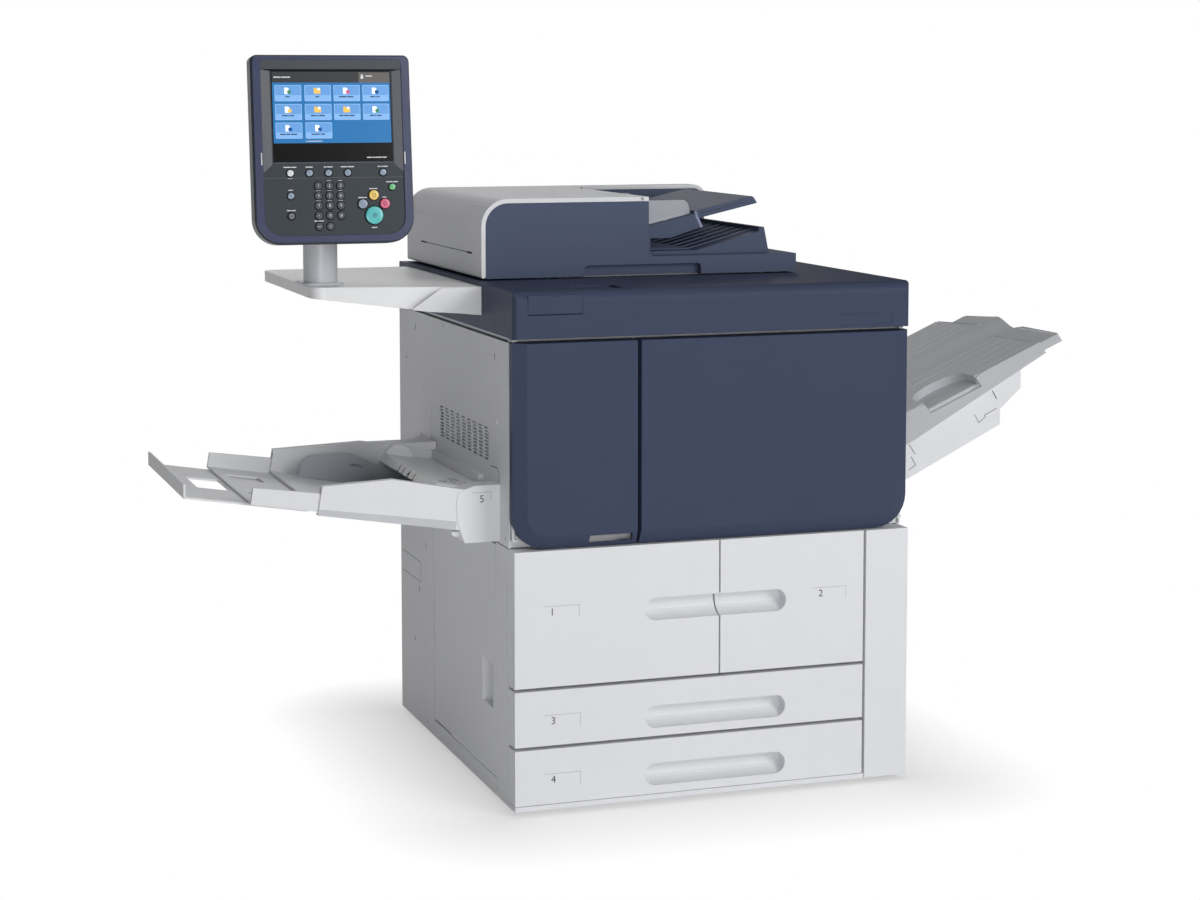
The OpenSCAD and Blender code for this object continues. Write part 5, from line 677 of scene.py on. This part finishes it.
def make_left_side():
    side = left_of(LEFT)
    holes = Piece("side_holes", "cabinet", BLACK, "dark_plastic", side)
    holes.slab(rounded(268, 796.7, 271.2, 809.1, 1.5, 4), SUNK, 0.08)
    holes.disc(339.9, 735.4, 2.2, SUNK, 0.08, steps=20)
    holes.disc(-279.7, 803.2, 3.0, SUNK, 0.08, steps=24)
    holes.slab(rounded(-281, 794, -278.4, 803, 1.2, 4), SUNK, 0.08)
    holes.line([(226.9, 597.5), (226.9, 580.3), (160.5, 577.0), (160.5, 560.5)], 3.2, SUNK, 0.1)
    holes.line([(384, 448.6), (366.2, 446.8)], 3.0, SUNK, 0.1)
    holes.line([(199, 372), (199, 384)], 2.0, SUNK, 0.1)
    for y, z in ((251, 281), (287, 173)):
        holes.slab(rounded(y - 1.2, z - 5, y + 1.2, z + 5, 1.1, 3), SUNK, 0.1)
    holes.done()
    glints = Piece("side_glints", "cabinet", WHITE_CAP_AND_HIGHLIGHT, "white_cover", side)
    glints.ring(-279.7, 799.4, 4.6, 1.0, SUNK, 0.35, 0.2, 24)
    for y, z in ((-292.1, 685.5), (-292.1, 655.6)):
        glints.ring(y, z, 4.0, 1.4, SUNK, 0.4, 0.2, 24)
    glints.done()
    seams = Piece("side_seams", "cabinet", MARK, "white_cover", side)
    seams.line([(240, 296.5), (379, 296.5)], 1.1, SUNK, 0.1)
    seams.line([(240, 337), (379, 337)], 1.1, SUNK, 0.1)
    seams.line([(240, 296.5), (240, 337)], 1.1, SUNK, 0.1)
    seams.line([(-255.3, 602.6), (-292, 604), (-302, 599), (-304.3, 590), (-304.3, 579)], 1.4, SUNK, 0.1)
    seams.done()
    screws("side_screws", side,
           ((193.6, 372.8), (193.6, 24.9), (-289, 26.7), (376, 452), (376, 30), (160, 452)), 3.0)
    screws("upper_screws", side, ((384, 486), (384, 822), (-340, 486), (60, 822)), 3.0)
    latch = Piece("block_latch", "cabinet", WHITE, "white_cover", front_of(-300))
    latch.slab([(-399, 497), (-397, 490), (-391, 486.6), (-384, 487), (-381, 490), (-381, 497)],
               -12, 0, 1.2).done(0.5)


# Feeder, console shelf and scanner

def make_feeder_details():
    slit = Piece("cover_slit", "top_cover", BLACK, "dark_plastic", left_of(-296))
    slit.line([(-83, 971), (279, 971)], 1.3, SUNK, 0.12)
    slit.line([(-83, 970.8), (-50, 970.8)], 3.6, SUNK, 0.16)
    slit.line([(279, 971), (240, 971)], 3.0, SUNK, 0.16).done()
    catch = Piece("cover_catch", "top_cover", SHADE, "guide_grey", front_of(-145))
    catch.slab(rounded(11.4, 1065.4, 16.8, 1071.2, 1, 3), SUNK, 0.25).done()
    top = above(1072)
    # Darker ring: painted shade at the rim of a shallow finger dish in the cover's top
    dish = Piece("cover_dish_shade", "top_cover", LIGHT_LINE, "white_cover", top)
    dish.band(oval(-128, 62, 38, 44, 40), oval(-128, 62, 36, 42, 40), -0.5, 0.0).done()
    latch = Piece("cover_latch", "top_cover", GUIDE, "guide_grey", top)
    latch.band(rounded(-20, -60, 18, -14, 5), rounded(-18.8, -58.8, 16.8, -15.2, 4), -0.4, 0.0)
    latch.slab(rounded(-12, -40, 10, -34, 3), -0.4, 0.0).done()

    # White cap that wraps the raised rear wall of the feeder
    outer, inner = arc(305, 1044, 28, 90, 0, 10), arc(305, 1044, 20, 0, 90, 10)
    cap = Piece("hump_cap", "feeder", WHITE, "white_cover", back_of(0))
    cap.slab([(27.6, 1072)] + outer + [(333, 1012), (325, 1012)] + inner + [(27.6, 1064)],
             344.2, 387.6).done(0.8)
    mark = Piece("hump_mark", "feeder", MARK, "dark_plastic", front_of(344.2))
    mark.disc(60, 1068, 2.2, SUNK, 0.3, steps=20).done()


def make_document_tray_details():
    tray = tilted((41, -83, 1007.5), DOCUMENT_SLOPE)
    strip_piece = Piece("tray_strip", "document_tray", PALE_BLUE, "guide_grey", tray)
    strip_piece.slab([(110.5, -24.5), (115.5, -22), (109.5, 2.5), (104.5, 2.5)], -0.4, 0.5, 0.2)
    strip_piece.slab([(105.5, 3.4), (110.5, 3.4), (108.4, 9.6), (104.5, 9.6)], -0.4, 0.5, 0.2).done()
    plate = sloped((41, 0, 1007.5), DOCUMENT_SLOPE)
    line = Piece("tray_line", "document_tray", NAVY_DARK, "navy_cover", plate)
    line.line([(112, -71), (225, -71)], 1.0, 9.6, 10.12)
    for y in (-20, 95, 210):
        line.slab(rounded(200, y - 9, 206, y + 9, 2, 3), 9.6, 10.12)
    line.done()
    marks = Piece("tray_marks", "document_tray", PRINT, "guide_grey", plate)
    for k in range(9):
        y = -58 + k * 9
        marks.line([(70, y), (78 if k % 2 else 82, y)], 0.8, 3.7, 4.12)
    marks.done()
    seam = Piece("tray_seam", "document_tray", NAVY_DARK, "navy_cover", tray)
    seam.line([(116.5, 3.2), (206, 3.2)], 1.1, -0.4, 0.15)
    seam.line([(206, 3.2), (206, -3.0)], 1.1, -0.4, 0.15).done()
    end = Piece("tray_end", "document_tray", PALE_BLUE, "navy_cover", tray)
    end.slab([(226.5, 8.4), (228.6, 8.4), (233.0, -3.6), (231.0, -3.6)], -0.4, 0.4, 0.15).done()

    guide = tilted((41, -61, 1007.5), DOCUMENT_SLOPE)
    lip = Piece("document_guide_lip", "document_guide_front", LIGHT_LINE, "guide_grey", guide)
    lip.line([(18, 8), (100, 8)], 1.2, SUNK, 0.3).done()


def make_shelf_details():
    # The shelf's front turns a little at its knee; the shade on its inner part is painted, as a darker white
    # facet
    facet = Piece("shelf_facet_shade", "cabinet", FACET_SHADE, "white_cover", front_of(-197))
    facet.slab([(-312, 867.8), (-312, 917.3), (-385, 917.3), (-440, 879.8), (-406.5, 875.8)],
               SUNK, 0.15).done()


def make_scanner_details():
    top = above(924)
    border = Piece("glass_border", "cabinet", DARK, "dark_plastic", top)
    border.band(rounded(-146, -126, 306, 196, 4), rounded(-140.5, -120.5, 300.5, 190.5, 1), SUNK, 0.15).done()
    marks = Piece("glass_marks", "cabinet", PRINT, "guide_grey", top)
    for k in range(23):
        x = -138 + k * 19
        marks.line([(x, -125.4), (x, -123.6 if k % 2 else -121.6)], 0.7, SUNK, 0.2)
    for k in range(16):
        y = -118 + k * 19
        marks.line([(-145.4, y), (-143.8 if k % 2 else -141.6, y)], 0.7, SUNK, 0.2)
    marks.slab([(-146, 188), (-146, 196), (-138, 196)], SUNK, 0.2).done()
    window = Piece("reading_window", "cabinet", SCREEN, "dark_plastic", top)
    window.slab(rounded(-178, -124, -162, 194, 2), SUNK, 0.12).done()
    window_frame = Piece("reading_window_frame", "cabinet", OUTLINE, "guide_grey", top)
    window_frame.band(rounded(-184, -130, -156, 200, 4), rounded(-178.4, -124.4, -161.6, 194.4, 2),
                      SUNK, 0.25, 0.1).done()
    seam = Piece("scanner_seam", "cabinet", NAVY_DARK, "navy_cover", left_of(LEFT))
    seam.line([(-159, 842), (-159, 903)], 1.2, SUNK, 0.0).done()


def make_pad():
    """Pad under the feeder: a foam core in a white film, softly crowned towards the glass."""
    pad = Piece("platen_cushion", "feeder", PAD, "pad_white", above(924.3))
    x0, y0, x1, y1 = -146, -126, 306, 196
    # Height over the pad's lower face, and how far the outline lies inside the pad's edge there
    levels = ((4.9, 0.6), (4.2, 0.05), (2.6, 0.0), (1.2, 0.3), (0.5, 1.2), (0.16, 3.4), (0.05, 10.0),
              (0.0, 30.0))
    rings = []
    for height, d in levels:
        outline = rounded(x0 + d, y0 + d, x1 - d, y1 - d, max(1.0, 6 - d * 0.2), 4)
        rings.append([(*p, height) for p in outline])
    piece = pad.loft(rings).done()
    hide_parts("platen_pad")


# Side tray 5 and its feed head

def make_bypass_details():
    front = tilted((LEFT, -308, 502), TRAY_5_SLOPE, -1)
    band = Piece("tray_5_band", "cabinet", LIGHT_LINE, "white_cover", front)
    band.slab([(80, -13.6), (327.2, -13.6), (327.2, -3.2), (80, 1.2)], SUNK, 0.25, 0.1).done()
    for name, y in (("front", -246), ("rear", 7)):
        plate = tilted((LEFT, y, 502), TRAY_5_SLOPE, -1)
        marks = Piece("paper_guide_marks_" + name, "paper_guide_" + name, MARK, "dark_plastic", plate)
        marks.line([(182, 40.6), (205, 40.6)], 0.9, SUNK, 0.15)
        marks.line([(182, 38.6), (182, 43.4)], 0.9, SUNK, 0.15)
        marks.line([(205, 38.6), (205, 43.4)], 0.9, SUNK, 0.15)
        for k in range(3):
            marks.line([(188 + k * 5, 43), (191 + k * 5, 43)], 1.6, SUNK, 0.15)
        marks.done()
    head = turned((-420, 0, 570.8), (0, 1, 0), (0.5812, 0, 0.8137), (-0.8137, 0, 0.5812))
    icons = Piece("head_marks", "cabinet", BLACK, "dark_plastic", head)
    for k, y in enumerate((-24, -54, -92, -130)):
        if k == 2:
            icons.slab([(y - 6, -5), (y + 6, -5), (y, 6)], -0.5, 0.2)
        else:
            icons.line([(y - 2.4, -5.4), (y + 2, 0.2), (y - 1.2, 5.4)], 2.4, -0.5, 0.2)
        icons.line([(y - 5, -7.4), (y + 5, -7.4)], 1.6, -0.5, 0.2)
    icons.done()
    # Plain diagram on the head's top: a frame, an arrow and three bars
    s, t = math.sin(math.radians(TRAY_5_SLOPE)), math.cos(math.radians(TRAY_5_SLOPE))
    top = turned((LEFT, 0, 561), (0, 1, 0), (-t, 0, s), (s, 0, t))
    diagram = Piece("head_diagram", "cabinet", MARK, "dark_plastic", top)
    diagram.band(rounded(-242, 34, -202, 64, 3), rounded(-240.2, 35.8, -203.8, 62.2, 1.5), SUNK, 0.15)
    diagram.slab([(-228, 80), (-216, 80), (-222, 71)], SUNK, 0.15)
    diagram.slab(rounded(-225, 80, -219, 90, 0.8, 3), SUNK, 0.15)
    for y in (-190, -180, -170):
        diagram.slab(rounded(y - 1, 40, y + 1, 60, 0.8, 3), SUNK, 0.15)
    diagram.done()


# Catch tray: pale lines along its two levels, painted shade along its edges, and painted highlights along its
# extension's edges

def make_catch_details():
    face = sloped((RIGHT, 0, 617), CATCH_SLOPE)
    grooves = Piece("catch_lines", "cabinet", LIGHT_LINE, "catch_grey", face)
    for y in (-186, -150, -116, -82, -50):
        start = 284 if y < -110 else 60
        grooves.line([(start, y), (392, y)], 1.4, SUNK, 0.35, 0.25)
    for y in (62, 92, 122, 152, 178):
        grooves.line([(60, y), (392, y)], 1.4, 11.7, 12.35, 0.25)
    grooves.done()
    # Grey lines: painted shade along the tray's edges, where its levels step down
    edge = Piece("catch_edge_shade", "cabinet", SHADE, "catch_grey", face)
    edge.line([(403, -182), (396, -40)], 1.6, -0.6, 0.3, 0.3)
    edge.line([(407, 50), (391, 190)], 1.6, 11.4, 12.3, 0.3)
    edge.done()
    # White lines: painted highlights along the extension's edges
    far = Piece("extension_edge_highlight", "exit_extension", WHITE_CAP_AND_HIGHLIGHT, "catch_grey", face)
    far.line([(449, -186), (444, -62)], 2.6, -4.6, -3.2, 0.6)
    far.line([(451, 46), (435, 147)], 2.6, 7.4, 8.8, 0.6)
    far.done()
    seams = Piece("bracket_seams", "cabinet", MARK, "white_cover", front_of(-195))
    seams.line([(679.9, 643.4), (689.8, 626.9), (704, 638), (702, 641), (727.9, 653.4)], 1.1, SUNK, 0.15)
    seams.line([(717.7, 688.1), (727.6, 671.7)], 1.8, SUNK, 0.15)
    seams.line([(540.4, 591.6), (553.9, 572.4)], 1.2, SUNK, 0.15)
    seams.line([(545.4, 567.6), (555.1, 551.2), (541, 542)], 1.2, SUNK, 0.15)
    seams.done()


# Back and right side: screws and seams

def make_back_and_right():
    back = back_of(BACK)
    spots = [(x, z) for x in (-290, -100, 110, 300, 421) for z in (24, 462, 484, 822)]
    spots += [(x, z) for x in (-290, 421) for z in (170, 320, 600, 710)]
    heads = Piece("back_screws", "cabinet", ZINC, "foot_steel", back)
    for a, b in spots:
        heads.disc(a, b, 3.2, -0.8, 0.0, 0.3, 16)
    heads.done()
    seams = Piece("back_seams", "cabinet", SHADE, "white_cover", back)
    seams.line([(-302, 472), (432, 472)], 1.4, -0.5, 0.0)
    seams.line([(65, 10.5), (65, 472)], 1.2, -0.5, 0.0)
    seams.line([(180, 472), (180, 832)], 1.2, -0.5, 0.0)
    seams.done()
    spots = [(y, z) for y in (-372, 372) for z in (26, 456)]
    spots += [(y, z) for y in (-345, 384) for z in (486, 822)]
    screws("right_screws", right_of(440.9), spots, 3.2)
    seams = Piece("right_seams", "cabinet", SHADE, "white_cover", right_of(RIGHT))
    seams.line([(-352.6, 10.5), (-352.6, 470)], 1.1, -0.5, 0.0)
    seams.line([(140, 10.5), (140, 470)], 1.1, -0.5, 0.0)
    seams.done()


# Behind the doors: ribs, fasteners and a printed arrow

def ribs(name, body, xs, zs):
    """Lattice of ribs on a front door's inside, with no two tops level where they cross."""
    wall, low, high, step = 1.8, -0.4, 5, 0.02
    piece = Piece(name, body, NAVY, "navy_cover", back_of(DOOR_INSIDES))
    for i, x in enumerate(xs):
        piece.slab(rounded(x - wall / 2, zs[0], x + wall / 2, zs[-1]), low, high - step * (i + 1), 0.4)
    for i, z in enumerate(zs):
        outline = rounded(xs[0] - wall, z - wall / 2, xs[-1] + wall, z + wall / 2)
        piece.slab(outline, low, high + step * (i + 1), 0.4)
    piece.done()


def arrow(piece, x, y, r, start, end, width, low, high):
    """Arc with a point at its end, as printed beside a part that turns."""
    turn = arc(x, y, r, start, end, 14)
    piece.line(turn, width, low, high)
    tip = Vector(turn[-1])
    ahead = (tip - Vector(turn[-2])).normalized()
    across = Vector((-ahead.y, ahead.x)) * width * 1.7
    piece.slab([tuple(tip + across), tuple(tip - across), tuple(tip + ahead * width * 3.4)], low, high)


def make_inside():
    levels = (518, 590, 662, 734, 806)
    ribs("left_door_ribs", "left_door", (-278, -232, -186, -140, -98), levels)
    ribs("right_door_ribs", "right_door", (-62, 5, 72, 139, 206, 273, 340, 406), levels)
    bezel = front_of(-354)
    screws("bezel_screws", bezel,
           ((-288, 822), (-110, 822), (80, 822), (270, 822), (420, 822), (-288, 660),
            (-288, 560), (-110, 560), (-60, 690), (160, 690), (380, 690), (400, 560)), 3.6)
    printed = Piece("toner_arrow", "cabinet", MARK, "dark_plastic", bezel)
    arrow(printed, -205, 737.5, 58, 150, 60, 3.0, SUNK, 0.15)
    printed.slab(rounded(-222, 662, -188, 670, 2), SUNK, 0.15)
    for k in range(3):
        printed.slab(rounded(-222 + k * 12.5, 676, -213 + k * 12.5, 682, 1), SUNK, 0.15)
    printed.done()
    seams = Piece("bezel_seams", "cabinet", SHADE, "white_cover", bezel)
    seams.line([(-300, 690), (-262, 690), (-262, 650), (-100, 650), (-100, 831)], 1.2, SUNK, 0.12)
    seams.line([(-50, 672), (420, 672)], 1.2, SUNK, 0.12)
    seams.done()


for make in (make_console, make_face_print, make_keys, make_buttons, make_screen, make_numbers,
             make_left_side, make_feeder_details, make_document_tray_details, make_scanner_details,
             make_pad, make_shelf_details, make_bypass_details, make_catch_details, make_back_and_right,
             make_inside):
    make()


# Floor, backdrop and light, in metres

HALF_FLOOR = 30
# The floor turns to plain white away from the machine's footprint, as a studio sweep does: from a share of
# NEAR_WHITE at the footprint to all of it at FADE_REACH
FOOTPRINT_MIDDLE, FOOTPRINT_HALF = (0.065, 0, 0), (0.3765, 0.395, 0)
NEAR_WHITE, FADE_REACH = 0.48, 0.28


def combined(tree, operation, one, other):
    """The result of a math node on two values."""
    node = tree.nodes.new("ShaderNodeMath")
    node.operation = operation
    tree.links.new(one, node.inputs[0])
    tree.links.new(other, node.inputs[1])
    return node.outputs[0]


def make_floor():
    mesh = bpy.data.meshes.new("floor")
    corners = [(x * HALF_FLOOR, y * HALF_FLOOR, 0) for x, y in ((-1, -1), (1, -1), (1, 1), (-1, 1))]
    mesh.from_pydata(corners, [], [(0, 1, 2, 3)])
    floor = bpy.data.objects.new("floor", mesh)
    bpy.context.collection.objects.link(floor)
    material = bpy.data.materials.new("pale_floor")
    material.use_nodes = True
    tree = material.node_tree
    shader = tree.nodes["Principled BSDF"]
    shader.inputs["Base Color"].default_value = (0.95, 0.95, 0.955, 1)
    shader.inputs["Roughness"].default_value = 0.8
    glow = tree.nodes.new("ShaderNodeEmission")
    glow.inputs["Color"].default_value = (1, 1, 1, 1)
    path = tree.nodes.new("ShaderNodeLightPath")
    reach = tree.nodes.new("ShaderNodeTexCoord").outputs["Object"]
    # Distance from the footprint
    for operation, other in (("SUBTRACT", FOOTPRINT_MIDDLE), ("ABSOLUTE", None),
                             ("SUBTRACT", FOOTPRINT_HALF), ("MAXIMUM", (0, 0, 0)), ("LENGTH", None)):
        step = tree.nodes.new("ShaderNodeVectorMath")
        step.operation = operation
        tree.links.new(reach, step.inputs[0])
        if other:
            step.inputs[1].default_value = other
        reach = step.outputs["Value" if operation == "LENGTH" else "Vector"]
    fade = ramp(tree, reach, NEAR_WHITE, 1.0, 0.0, FADE_REACH)
    seen = combined(tree, "MAXIMUM", path.outputs["Is Camera Ray"], path.outputs["Is Glossy Ray"])
    mix = tree.nodes.new("ShaderNodeMixShader")
    tree.links.new(combined(tree, "MULTIPLY", seen, fade), mix.inputs["Fac"])
    tree.links.new(shader.outputs[0], mix.inputs[1])
    tree.links.new(glow.outputs[0], mix.inputs[2])
    tree.links.new(mix.outputs[0], tree.nodes["Material Output"].inputs["Surface"])
    mesh.materials.append(material)


def make_world():
    """Dim white surroundings, which the camera and clear pieces see as plain white."""
    world = bpy.data.worlds.new("studio")
    bpy.context.scene.world = world
    world.use_nodes = True
    tree = world.node_tree
    background = tree.nodes["Background"]
    background.inputs["Color"].default_value = (1, 1, 1, 1)
    path = tree.nodes.new("ShaderNodeLightPath")
    seen = combined(tree, "MAXIMUM", path.outputs["Is Camera Ray"], path.outputs["Is Transmission Ray"])
    tree.links.new(ramp(tree, seen, 0.1, 1.0), background.inputs["Strength"])


def area_light(name, place, target, size, power):
    data = bpy.data.lights.new(name, "AREA")
    data.shape = "RECTANGLE"
    data.size, data.size_y = size
    data.energy = power
    lamp = bpy.data.objects.new(name, data)
    lamp.location = place
    lamp.rotation_euler = (Vector(target) - Vector(place)).to_track_quat("-Z", "Y").to_euler()
    bpy.context.collection.objects.link(lamp)


make_floor()
make_world()
area_light("key", (2.4, -4.8, 2.6), (0.1, -0.3, 0.6), (2.4, 2.4), 126)
area_light("fill", (-1.3, -5.2, 0.9), (0.0, -0.3, 0.6), (2.0, 1.2), 64)
area_light("top", (-0.5, -0.9, 4.2), (0.0, 0, 0.8), (3.2, 3.2), 27)
area_light("side", (-3.0, -3.6, 2.8), (-0.3, 0, 0.6), (0.9, 0.9), 2)
area_light("back", (1.0, 4.8, 2.4), (0.1, 0.3, 0.6), (2.4, 2.0), 22)
area_light("back_left", (-1.4, 4.6, 1.9), (0.0, 0.3, 0.6), (2.4, 1.8), 13)

bpy.context.scene.view_settings.view_transform = "Standard"
